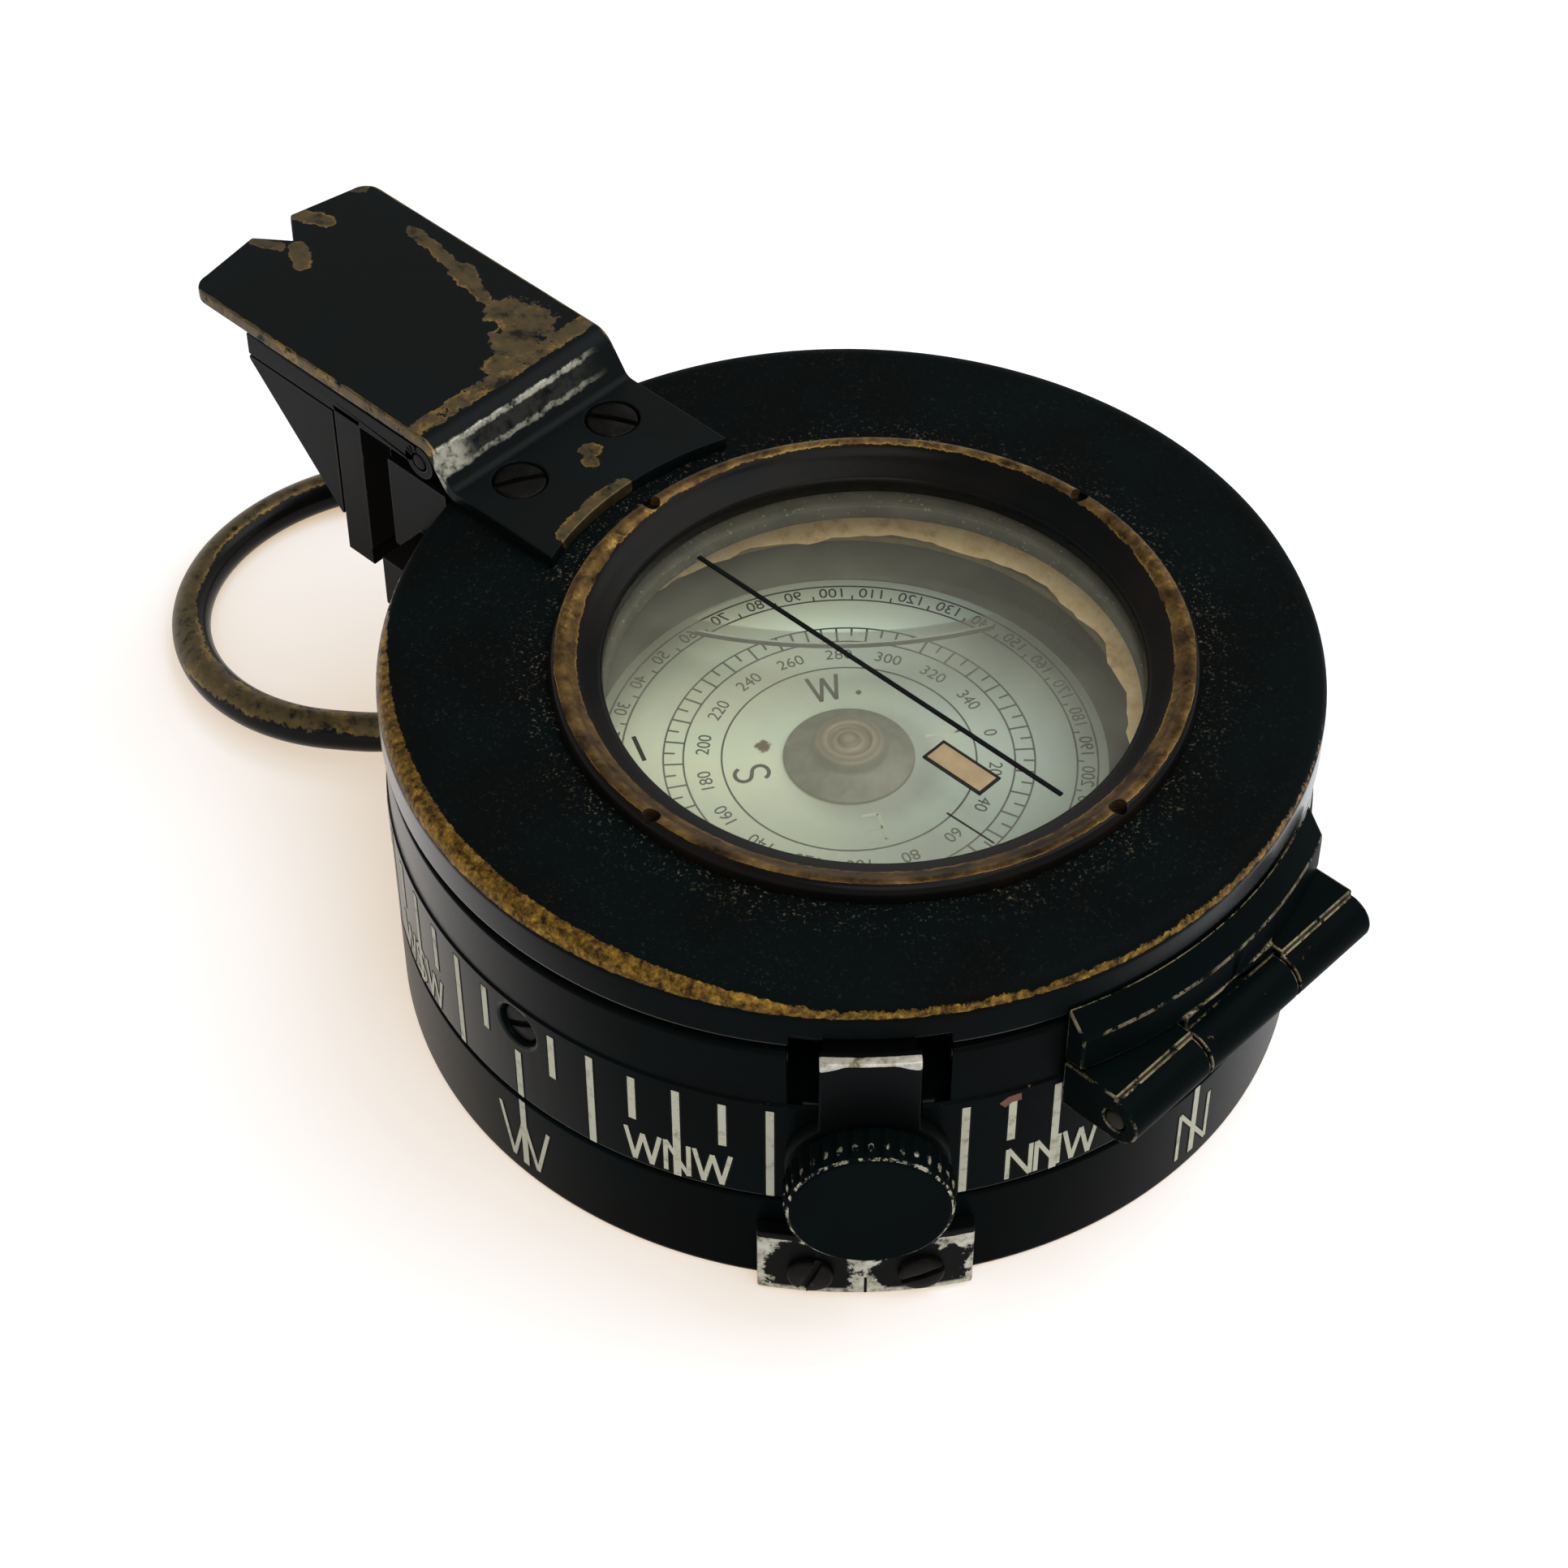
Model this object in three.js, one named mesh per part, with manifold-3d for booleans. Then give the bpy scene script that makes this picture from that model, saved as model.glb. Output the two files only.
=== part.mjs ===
// Prismatic marching compass, shut, with its prism folded outwards and its thumb ring down.
// Millimetres, +Z up. The origin is the middle of the base's underside. The lid's hinge is at +X, the prism
// and the thumb ring are at -X, and the hairline of the lid lies along X.
import * as THREE from "three";
import { mergeVertices } from "three/addons/utils/BufferGeometryUtils.js";
import Module from "manifold-3d";

const wasm = await Module();
wasm.setup();

// Clearances
const FIT = 0.1; // pieces pressed or screwed together
const RUN = 0.15; // pieces that turn or slide on one another
const STAND = 0.15; // the case's side and what is fixed to it
const OPEN = 0.3; // pieces that pass one another freely

// Facets
const ROUND = 60;
const INNER_ROUND = 40;
const SMALL_ROUND = 14;
const WIRE_QUARTER_SIDES = 4;
const WIRE_STEPS = 52;
const BEND_STEPS = 4;

// Case, from the table up
const CASE_RADIUS = 30;
const BASE_RING_HEIGHT = 7.8;
const JOINT_GAP = 0.25;
const TICK_BAND_HEIGHT = 8.9;
const UPPER_BAND_HEIGHT = 4.85;
const BAND_STEP = 0.15;
const EDGE_CHAMFER = 0.4;
const MOUTH_WALL = 5;
const SKIRT_WALL = 3.4;
const LEDGE_THICKNESS = 1.8;

// Base
const BASE_RIM = 3.4;
const BASE_PLATE_THICKNESS = 1.5;
const GASKET_THICKNESS = 0.6;
const GASKET_WIDTH = 2;
const BASE_LEDGE = 1.6;
const SPIGOT_HEIGHT = 2.2;
const SPIGOT_WALL = 1.3;
const SPANNER_HOLE_RADIUS = 0.9;
const SPANNER_HOLE_DEPTH = 0.8;
const SPANNER_HOLE_PITCH = 30;

// Bowl of liquid, and the stack of rings above it in the mouth of the case
const BOWL_FLANGE_WIDTH = 4.9;
const BOWL_FLANGE = 1;
const BOWL_WALL = 1.5;
const BOWL_FLOOR = 1.6;
const CHAMBER_DEPTH = 0.6;
const CHAMBER_RADIUS = 9.5;
const BLEED_RADIUS = 1;
const BLEED_PITCH_RADIUS = 6;
const DIAPHRAGM_THICKNESS = 0.4;
const DIAPHRAGM_WAVE = 0.2;
const DIAPHRAGM_WAVES = 2;
const DIAPHRAGM_RIM = 2.5;
const DIAPHRAGM_RING = 0.8;
const UNDER_BOWL = 2.2;
const FILLER_RADIUS = 1.3;
const FILLER_PROUD = 0.6;
const FILLER_BEARING = 150;
const SEAL_THICKNESS = 0.6;
const BOWL_GLASS_THICKNESS = 1.1;
const BOWL_GLASS_SEAT = 2.4;
const BEZEL_LIP = 0.7;
const BEZEL_REVEAL = 0.8;
const DIRECTION_RING_HEIGHT = 1.2;
const DIRECTION_GLASS_THICKNESS = 0.8;
const DIRECTION_GLASS_SEAT = 1.2;
const DIRECTION_PROUD = 0.1;
const MARK_LENGTH = 4.6;
const MARK_WIDTH = 1.8;
const MARK_THICKNESS = 0.12;
const MARK_CENTRE = 9.5;

// Card and pivot
const CARD_HEADING = 57;
const CARD_GAP = 1.7;
const CARD_THICKNESS = 0.4;
const CARD_DEPTH = 2.55;
const CAP_RADIUS = 4.3;
const CAP_RIM = 0.3;
const CAP_TOP_RADIUS = 2.2;
const CAP_HEIGHT = 0.9;
const CAP_SKIRT = 1.2;
const CAP_SKIRT_RADIUS = 1.9;
const JEWEL_RADIUS = 1;
const JEWEL_HEIGHT = 1.2;
const JEWEL_CUP_RADIUS = 0.6;
const JEWEL_CUP_DEPTH = 0.7;
const PIVOT_FOOT_RADIUS = 2.2;
const PIVOT_FOOT_HEIGHT = 1;
const PIVOT_RADIUS = 0.9;
const PIVOT_POINT = 1.6;
const MAGNET_LENGTH = 16;
const MAGNET_WIDTH = 2.4;
const MAGNET_HEIGHT = 1.5;
const MAGNET_SPACING = 8;

// Lid
const LID_GAP = 0.75;
const LID_THICKNESS = 3.75;
const LID_CHAMFER = 1;
const LID_RECESS = 0.8;
const LID_RIM = 4;
const WINDOW_OFFSET = 2;
const WINDOW_MARGIN = 12.9; // from the lid's radius in to the window's
const LID_GLASS_LEDGE = 0.7;
const LID_GLASS_SEAT = 1.5;
const LID_GLASS_THICKNESS = 1.2;
const BEAD_WIDTH = 3.4;
const BEAD_HEIGHT = 1.15;
const BEAD_SHOULDER = 0.6;
const BEAD_CREST = 0.7;
const BEAD_HOLE_RADIUS = 0.55;
const BEAD_HOLE_DEPTH = 0.8;
const HAIRLINE_MARGIN = 1.6;
const HAIRLINE_WIDTH = 0.3;
const HAIRLINE_THICKNESS = 0.12;

// Tongue of the lid
const TONGUE_WIDTH = 16.2;
const TONGUE_THICKNESS = 1;
const TONGUE_RISE = 2.9;
const TONGUE_OVERHANG = 25;
const TONGUE_BEND_START = 2.4; // inside the edge of the lid
const TONGUE_BEND_ANGLE = 55;
const TONGUE_BEND_RADIUS = 1.3;
const TONGUE_WINDOW_GAP = 1.75;
const TONGUE_CORNER = 1.4;
const TONGUE_BOW = 0.9;
const NOTCH_WIDTH = 3.5;
const NOTCH_DEPTH = 2.3;
const TONGUE_SCREW_SPACING = 8.5;
const TONGUE_SCREW_INSET = 1.9; // from the start of the bend
const TONGUE_SCREW_HEAD = 1.75;
const TONGUE_SCREW_HEAD_HEIGHT = 0.9;
const TONGUE_SCREW_SHANK = 0.9;
const TONGUE_SCREW_LENGTH = 3;

// Hinge of the lid
const HINGE_OUT = 1.95; // axis outside the case's side
const HINGE_DROP = 5.4; // axis below the case's top
const HINGE_RADIUS = 1.7;
const HINGE_LENGTH = 22.8;
const HINGE_MIDDLE = 8.4;
const HINGE_PIN_RADIUS = 0.7;
const HINGE_BLOCK_TOP = 2.1; // above the axis
const HINGE_BACK = 0.6;
const HINGE_LEAF_THICKNESS = 1.25;
const HINGE_LEAF_EDGE = 0.3; // its square edge, below the case's top
const HINGE_LEAF_LAP = 0.75; // on the lid's side
const HINGE_STRAP = 0.6;

// Prism, folded outwards
const PRISM_OUT = 1.5; // axis outside the case's side
const PRISM_BARREL = 1.3;
const PRISM_PIN_RADIUS = 0.6;
const PRISM_WIDTH = 15.8;
const PRISM_MIDDLE = 8.2;
const ARM_THICKNESS = 1.8;
const ARM_REACH = 17.2;
const ARM_WINDOW_START = 9.5;
const ARM_WINDOW_LENGTH = 5.6;
const ARM_WINDOW_WIDTH = 12;
const RAIL_START = 5.9;
const RAIL_DEPTH = 2.6;
const RAIL_WIDTH = 2.5;
const RAIL_LENGTH = 12.4; // below the arm
const RAIL_FOOT = 1.4;
const GROOVE_WIDTH = 0.8;
const GROOVE_DEPTH = 1;
const GROOVE_INSET = 0.3; // from the rail's outside
const PRISM_DEPTH = 9.25;
const PRISM_TOE = 0.2;
const PRISM_LIP = 0.3;
const PRISM_WALL = 0.8;
const PRISM_CHEEK = 1.2;
const PRISM_GLASS_GAP = 0.2;
const BRACKET_DEPTH = 3.3; // outside the axis, as the pad below
const BRACKET_PAD = 0.5;
const BRACKET_CHEEK = 1.3;
const BRACKET_LENGTH = 7.6;
const BRACKET_TOE = 2;
const BRACKET_BASE_WIDTH = 22.8;
const BRACKET_BASE_HEIGHT = 4.2;
const BRACKET_BASE_DROP = 1.4; // below the cheeks
const BRACKET_SCREW_SPACING = 7;
const BRACKET_SCREW_DROP = 5.9; // below the bracket's top
const BRACKET_SCREW_HEAD = 1.3;
const BRACKET_SCREW_HEAD_HEIGHT = 0.6;
const BRACKET_SCREW_SHANK = 0.8;
const BRACKET_SCREW_LENGTH = 5;

// Thumb ring
const WIRE_RADIUS = 1.4;
const LUG_OUT = 1.95; // axis outside the case's side
const LUG_HEIGHT = 4.2;
const LUG_RADIUS = 2.2;
const LUG_LENGTH = 10.5;
const RING_BOW_RADIUS = 14.6;
const RING_REACH = 26.7;
const RING_BOW_HALF_ANGLE = 122;
const RING_PIN_START = 1.2;
const RING_CORNER = 2.4;
const RING_LEG = 3.4; // run of the legs straight on from the bow
const RING_SIDE_PLAY = 1.7; // the ring lies over to the -Y side by this much
const RING_LIFT = 0.1; // above the table

// Clamp of the direction ring
const CLAMP_BEARING = -45;
const CLAMP_THICKNESS = 1.05;
const CLAMP_NOTCH_WIDTH = 9.5;
const CLAMP_NOTCH_DEPTH = 4.4;
const LID_RELIEF = 1;
const CLAMP_LIP_WIDTH = 6;
const CLAMP_LIP_RISE = 0.9; // above the case's top
const CLAMP_FINGER = 1.2;
const CLAMP_DISC_RADIUS = 5;
const CLAMP_FOOT_WIDTH = 13.4;
const CLAMP_FOOT_LOW = 0.4;
const CLAMP_FOOT_HIGH = 6;
const FOOT_SCREW_SPREAD = 6.3; // degrees each side
const FOOT_SCREW_HEIGHT = 2.5;
const FOOT_SCREW_HEAD = 1.45;
const FOOT_SCREW_HEAD_HEIGHT = 0.6;
const FOOT_SCREW_SHANK = 0.8;
const FOOT_SCREW_LENGTH = 3.2;
const KNOB_HEIGHT = 12.4;
const KNOB_RADIUS = 5.2;
const KNOB_THICKNESS = 2.55;
const KNOB_TEETH = 34;
const KNOB_TOOTH = 0.3;
const KNOB_SHANK = 1.5;

// Lock screws of the tick band
const LOCK_BEARINGS = [-90, 90];
const LOCK_SCREW_BELOW_STEP = 2.05;
const LOCK_SCREW_RADIUS = 1.4;
const LOCK_SCREW_LENGTH = 2.2;
const SLOT_WIDTH = 0.5;
const SLOT_DEPTH = 0.4;

// Levels and radii that follow from the sizes above
const degrees = THREE.MathUtils.degToRad;
const bandBottom = BASE_RING_HEIGHT + JOINT_GAP;
const stepLevel = bandBottom + TICK_BAND_HEIGHT;
const caseTop = stepLevel + UPPER_BAND_HEIGHT;
const upperRadius = CASE_RADIUS - BAND_STEP;
const mouthRadius = CASE_RADIUS - MOUTH_WALL;
const skirtRadius = CASE_RADIUS - SKIRT_WALL;
const sideRadius = CASE_RADIUS + STAND;
const gasketTop = BASE_PLATE_THICKNESS + GASKET_THICKNESS;

const directionTop = caseTop + DIRECTION_PROUD;
const directionBottom = directionTop - DIRECTION_RING_HEIGHT;
const bezelTop = directionBottom - RUN;
const bowlGlassTop = bezelTop - BEZEL_LIP;
const sealTop = bowlGlassTop - BOWL_GLASS_THICKNESS;
const flangeTop = sealTop - SEAL_THICKNESS;
const ledgeTop = flangeTop - BOWL_FLANGE;
const bowlOuter = mouthRadius - BOWL_FLANGE_WIDTH;
const bowlBore = bowlOuter - BOWL_WALL;
const bowlGlassRadius = bowlBore + BOWL_GLASS_SEAT;
const bezelBore = bowlBore + BEZEL_REVEAL;
const diaphragmRingBottom = BASE_PLATE_THICKNESS + UNDER_BOWL;
const diaphragmBottom = diaphragmRingBottom + DIAPHRAGM_RING;
const bowlBottom = diaphragmBottom + DIAPHRAGM_THICKNESS;
const bowlFloor = bowlBottom + BOWL_FLOOR;
const fillerLevel = (bowlFloor + ledgeTop - LEDGE_THICKNESS) / 2;
const cardTop = sealTop - CARD_DEPTH;
const cardBottom = cardTop - CARD_THICKNESS;
const capBottom = cardTop - CAP_SKIRT;

const lidBottom = caseTop + LID_GAP;
const lidTop = lidBottom + LID_THICKNESS;
const lidGlassBottom = lidBottom + LID_RECESS + LID_GLASS_LEDGE;
const lidGlassTop = lidGlassBottom + LID_GLASS_THICKNESS;
const windowRadius = CASE_RADIUS - WINDOW_MARGIN;
const lidGlassRadius = windowRadius + LID_GLASS_SEAT;
const beadRadius = windowRadius + BEAD_WIDTH;
const tongueScrewX = -(CASE_RADIUS - TONGUE_BEND_START - TONGUE_SCREW_INSET);

const hingeX = CASE_RADIUS + HINGE_OUT;
const hingeZ = caseTop - HINGE_DROP;
const prismX = -(CASE_RADIUS + PRISM_OUT);
const prismZ = lidTop + TONGUE_RISE - OPEN - PRISM_BARREL;
const lugX = -(CASE_RADIUS + LUG_OUT);
const clampRadius = sideRadius + CLAMP_THICKNESS;
const clampTurn = degrees(CLAMP_BEARING);
const lockLevel = stepLevel - LOCK_SCREW_BELOW_STEP;

// Materials
const metal = (color, roughness, metalness = 0.7) =>
  new THREE.MeshStandardMaterial({ color, roughness, metalness });
const blackPaint = metal(0x24231f, 0.55, 0.2);
const brass = metal(0xb8924a, 0.35, 1);
const nickel = metal(0xa9a294, 0.35, 1);
const steel = metal(0x6a6a68, 0.35, 1);
const rubber = metal(0x1b1b1a, 0.85, 0);
const cork = metal(0xb08a4c, 0.7, 0);
const cardPaper = metal(0xb9b6a4, 0.6, 0);
const greyPaint = metal(0x77756c, 0.5, 0.2);
const ruby = metal(0x8c2f3c, 0.2, 0);
const luminous = metal(0xd8b59a, 0.6, 0);
const inkBlack = metal(0x101010, 0.6, 0);
const glass = new THREE.MeshStandardMaterial({
  color: 0xdfe6df,
  roughness: 0.05,
  transparent: true,
  opacity: 0.25,
});

// Shapes

// Shared corners and no empty triangles, which joins and cuts need.
function tidy(geometry) {
  geometry.deleteAttribute("normal");
  geometry.deleteAttribute("uv");
  const merged = mergeVertices(geometry, 1e-4);
  const corners = merged.index.array;
  const kept = [];
  for (let i = 0; i < corners.length; i += 3) {
    const [a, b, c] = corners.slice(i, i + 3);
    if (a !== b && b !== c && c !== a) kept.push(a, b, c);
  }
  merged.setIndex(kept);
  return merged;
}

function solid(geometry) {
  const merged = tidy(geometry);
  const vertProperties = Float32Array.from(merged.attributes.position.array);
  const triVerts = Uint32Array.from(merged.index.array);
  return new wasm.Manifold(new wasm.Mesh({ numProp: 3, vertProperties, triVerts }));
}

function surface(manifold) {
  const mesh = manifold.getMesh();
  const geometry = new THREE.BufferGeometry();
  geometry.setAttribute("position", new THREE.BufferAttribute(Float32Array.from(mesh.vertProperties), 3));
  geometry.setIndex(Array.from(mesh.triVerts));
  return geometry;
}

const join = (first, ...rest) =>
  surface(rest.reduce((made, geometry) => made.add(solid(geometry)), solid(first)));
const cut = (first, ...tools) =>
  surface(tools.reduce((made, geometry) => made.subtract(solid(geometry)), solid(first)));
const common = (first, second) => surface(solid(first).intersect(solid(second)));

// Turned piece from [radius, height] corners, listed up the outside and down the inside.
function turned(corners, segments = ROUND) {
  const onAxis = corners[0][0] === 0;
  const closed = onAxis ? corners : [...corners, corners[0]];
  const profile = closed.map(([radius, height]) => new THREE.Vector2(radius, height));
  return new THREE.LatheGeometry(profile, segments).rotateX(Math.PI / 2);
}

const ring = (inner, outer, low, high, segments = ROUND) =>
  turned([[inner, low], [outer, low], [outer, high], [inner, high]], segments);
const disc = (radius, low, high, segments = ROUND) =>
  turned([[0, low], [radius, low], [radius, high], [0, high]], segments);

function box(x0, x1, y0, y1, z0, z1) {
  const geometry = new THREE.BoxGeometry(x1 - x0, y1 - y0, z1 - z0);
  return geometry.translate((x0 + x1) / 2, (y0 + y1) / 2, (z0 + z1) / 2);
}

const rodZ = (radius, x, y, z0, z1) => disc(radius, z0, z1, SMALL_ROUND).translate(x, y, 0);
const rodX = (radius, x0, x1, y, z) =>
  disc(radius, x0, x1, SMALL_ROUND).rotateY(Math.PI / 2).translate(0, y, z);
const rodY = (radius, y0, y1, x, z) =>
  disc(radius, -y1, -y0, SMALL_ROUND).rotateX(Math.PI / 2).translate(x, 0, z);

// Both of a shape and its mirror image across the middle of the compass, from limits on the +Y side.
const bothSides = (make, near, far) => [make(near, far), make(-far, -near)];

// Side profile of [x, z] corners, counter-clockwise, carried along Y.
function profiled(corners, y0, y1) {
  const shape = new THREE.Shape(corners.map(([x, z]) => new THREE.Vector2(x, z)));
  const geometry = new THREE.ExtrudeGeometry(shape, { depth: y1 - y0, bevelEnabled: false });
  return geometry.rotateX(Math.PI / 2).translate(0, y1, 0);
}

// Slotted screw that points down, with the top of its head at the origin.
function screw(head, headHeight, shank, length) {
  const corners = [
    [0, -length],
    [shank, -length],
    [shank, -headHeight],
    [head, -headHeight],
    [head, 0],
    [0, 0],
  ];
  const slot = box(-head - 1, head + 1, -SLOT_WIDTH / 2, SLOT_WIDTH / 2, -SLOT_DEPTH, 1);
  return cut(turned(corners, SMALL_ROUND), slot);
}

// Turns a piece made along Z to point outwards at a bearing, with its origin at the given radius and height.
const outwards = (geometry, radius, height, bearing) =>
  geometry.rotateY(Math.PI / 2).translate(radius, 0, height).rotateZ(degrees(bearing));

// Bar across the case's side at the clamp, between two radii.
const atClamp = (r0, r1, halfWidth, z0, z1) => box(r0, r1, -halfWidth, halfWidth, z0, z1).rotateZ(clampTurn);

// Assembly

const compass = new THREE.Group();
compass.name = "prismatic_compass";

function place(name, geometry, material, parent = compass) {
  const mesh = new THREE.Mesh(tidy(geometry), material);
  mesh.name = name;
  parent.add(mesh);
  return mesh;
}

function addCase() {
  const wall = turned([
    [skirtRadius, bandBottom],
    [CASE_RADIUS, bandBottom],
    [CASE_RADIUS, stepLevel],
    [upperRadius, stepLevel + BAND_STEP],
    [upperRadius, caseTop - EDGE_CHAMFER],
    [upperRadius - EDGE_CHAMFER, caseTop],
    [mouthRadius, caseTop],
    [mouthRadius, ledgeTop],
    [bowlOuter + FIT, ledgeTop],
    [bowlOuter + FIT, ledgeTop - LEDGE_THICKNESS],
    [skirtRadius, ledgeTop - LEDGE_THICKNESS],
  ]);
  const notch = atClamp(
    mouthRadius - OPEN,
    CASE_RADIUS + OPEN,
    CLAMP_NOTCH_WIDTH / 2,
    caseTop - CLAMP_NOTCH_DEPTH,
    caseTop + OPEN,
  );
  const knobBore = rodX(KNOB_SHANK + RUN, skirtRadius - OPEN, CASE_RADIUS + OPEN, 0, KNOB_HEIGHT);
  const knobHole = knobBore.rotateZ(clampTurn);
  const lockHoles = LOCK_BEARINGS.map((bearing) =>
    rodX(
      LOCK_SCREW_RADIUS + FIT,
      CASE_RADIUS - LOCK_SCREW_LENGTH - FIT,
      CASE_RADIUS + OPEN,
      0,
      lockLevel,
    ).rotateZ(degrees(bearing)),
  );
  place("body_shell", cut(wall, notch, knobHole, ...lockHoles, ...bracketScrewHoles()), blackPaint);

  LOCK_BEARINGS.forEach((bearing, i) => {
    const made = screw(LOCK_SCREW_RADIUS, LOCK_SCREW_LENGTH / 2, LOCK_SCREW_RADIUS, LOCK_SCREW_LENGTH);
    place(`lock_screw_${i + 1}`, outwards(made, CASE_RADIUS, lockLevel, bearing), steel);
  });
}

function addBase() {
  const plateBore = CASE_RADIUS - BASE_RIM;
  const ledgeBore = plateBore - GASKET_WIDTH;
  const spigotOuter = skirtRadius - FIT;
  const spigotTop = BASE_RING_HEIGHT + SPIGOT_HEIGHT;
  const ledgeLevel = gasketTop + BASE_LEDGE;
  const band = turned([
    [plateBore, 0],
    [CASE_RADIUS - EDGE_CHAMFER, 0],
    [CASE_RADIUS, EDGE_CHAMFER],
    [CASE_RADIUS, BASE_RING_HEIGHT],
    [spigotOuter, BASE_RING_HEIGHT],
    [spigotOuter, spigotTop],
    [spigotOuter - SPIGOT_WALL, spigotTop],
    [spigotOuter - SPIGOT_WALL, ledgeLevel],
    [ledgeBore, ledgeLevel],
    [ledgeBore, gasketTop],
    [plateBore, gasketTop],
  ]);
  place("base_ring", cut(band, ...footScrewHoles()), blackPaint);

  const holes = [-1, 1].map((side) =>
    rodZ(SPANNER_HOLE_RADIUS, 0, (side * SPANNER_HOLE_PITCH) / 2, -1, SPANNER_HOLE_DEPTH),
  );
  place("base_plate", cut(disc(plateBore - FIT, 0, BASE_PLATE_THICKNESS), ...holes), blackPaint);
  place("base_gasket", ring(ledgeBore + FIT, plateBore - FIT, BASE_PLATE_THICKNESS, gasketTop), rubber);
}

function addBowl() {
  const cup = turned([
    [0, bowlBottom + CHAMBER_DEPTH],
    [CHAMBER_RADIUS, bowlBottom + CHAMBER_DEPTH],
    [CHAMBER_RADIUS, bowlBottom],
    [bowlOuter, bowlBottom],
    [bowlOuter, ledgeTop],
    [mouthRadius - FIT, ledgeTop],
    [mouthRadius - FIT, flangeTop],
    [bowlBore, flangeTop],
    [bowlBore, bowlFloor],
    [0, bowlFloor],
  ], INNER_ROUND);
  const bleeds = [45, 135, 225, 315].map((bearing) =>
    rodZ(BLEED_RADIUS, BLEED_PITCH_RADIUS, 0, bowlBottom, bowlFloor + 1).rotateZ(degrees(bearing)),
  );
  const fillerHole = rodX(FILLER_RADIUS + FIT, bowlBore - 1, bowlOuter + 1, 0, fillerLevel);
  place("bowl", cut(cup, ...bleeds, fillerHole.rotateZ(degrees(FILLER_BEARING))), greyPaint);

  const plug = screw(FILLER_RADIUS, BOWL_WALL / 2, FILLER_RADIUS, BOWL_WALL + FILLER_PROUD);
  place("filler_plug", outwards(plug, bowlOuter + FILLER_PROUD, fillerLevel, FILLER_BEARING), brass);

  const waveStep = CHAMBER_RADIUS / (2 * DIAPHRAGM_WAVES + 1);
  const under = [[0, diaphragmBottom]];
  for (let i = 1; i <= 2 * DIAPHRAGM_WAVES; i += 1) {
    under.push([i * waveStep, diaphragmBottom + (i % 2 ? DIAPHRAGM_WAVE : 0)]);
  }
  under.push([CHAMBER_RADIUS + DIAPHRAGM_RIM, diaphragmBottom]);
  const over = under.map(([radius, height]) => [radius, height + DIAPHRAGM_THICKNESS]).reverse();
  place("diaphragm", turned([...under, ...over], INNER_ROUND), brass);
  place(
    "diaphragm_ring",
    ring(CHAMBER_RADIUS, CHAMBER_RADIUS + DIAPHRAGM_RIM, diaphragmRingBottom, diaphragmBottom, INNER_ROUND),
    brass,
  );

  place("bowl_seal", ring(bowlBore, bowlGlassRadius, flangeTop, sealTop, INNER_ROUND), cork);
  place("bowl_glass", disc(bowlGlassRadius, sealTop, bowlGlassTop, INNER_ROUND), glass);
  place(
    "bowl_bezel",
    turned([
      [bowlGlassRadius + FIT, flangeTop],
      [mouthRadius - FIT, flangeTop],
      [mouthRadius - FIT, bezelTop],
      [bezelBore, bezelTop],
      [bezelBore, bowlGlassTop],
      [bowlGlassRadius + FIT, bowlGlassTop],
    ], INNER_ROUND),
    brass,
  );
}

function addCard() {
  const boreTop = capBottom + JEWEL_HEIGHT + FIT;
  const jewelBottom = boreTop - JEWEL_HEIGHT;
  const pointLevel = jewelBottom + JEWEL_CUP_DEPTH - FIT;
  place(
    "pivot_post",
    turned(
      [
        [0, bowlFloor],
        [PIVOT_FOOT_RADIUS, bowlFloor],
        [PIVOT_FOOT_RADIUS, bowlFloor + PIVOT_FOOT_HEIGHT],
        [PIVOT_RADIUS, bowlFloor + 2 * PIVOT_FOOT_HEIGHT],
        [PIVOT_RADIUS, pointLevel - PIVOT_POINT],
        [0, pointLevel],
      ],
      SMALL_ROUND,
    ),
    brass,
  );

  const card = new THREE.Group();
  card.name = "card_assembly";
  card.rotation.z = degrees(CARD_HEADING);
  compass.add(card);
  const paper = ring(CAP_SKIRT_RADIUS + FIT, bowlBore - CARD_GAP, cardBottom, cardTop, INNER_ROUND);
  place("card", paper, cardPaper, card);
  place(
    "card_cap",
    turned(
      [
        [0, boreTop],
        [JEWEL_RADIUS + FIT, boreTop],
        [JEWEL_RADIUS + FIT, capBottom],
        [CAP_SKIRT_RADIUS, capBottom],
        [CAP_SKIRT_RADIUS, cardTop],
        [CAP_RADIUS, cardTop],
        [CAP_RADIUS, cardTop + CAP_RIM],
        [CAP_TOP_RADIUS, cardTop + CAP_HEIGHT],
        [0, cardTop + CAP_HEIGHT],
      ],
      INNER_ROUND / 2,
    ),
    greyPaint,
    card,
  );
  place(
    "card_jewel",
    turned(
      [
        [0, jewelBottom + JEWEL_CUP_DEPTH],
        [JEWEL_CUP_RADIUS, jewelBottom],
        [JEWEL_RADIUS, jewelBottom],
        [JEWEL_RADIUS, boreTop],
        [0, boreTop],
      ],
      SMALL_ROUND,
    ),
    ruby,
    card,
  );
  [-1, 1].forEach((side, i) => {
    const middle = (side * MAGNET_SPACING) / 2;
    const bar = box(
      -MAGNET_LENGTH / 2,
      MAGNET_LENGTH / 2,
      middle - MAGNET_WIDTH / 2,
      middle + MAGNET_WIDTH / 2,
      cardBottom - MAGNET_HEIGHT,
      cardBottom,
    );
    place(`card_magnet_${i + 1}`, bar, steel, card);
  });
}

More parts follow.
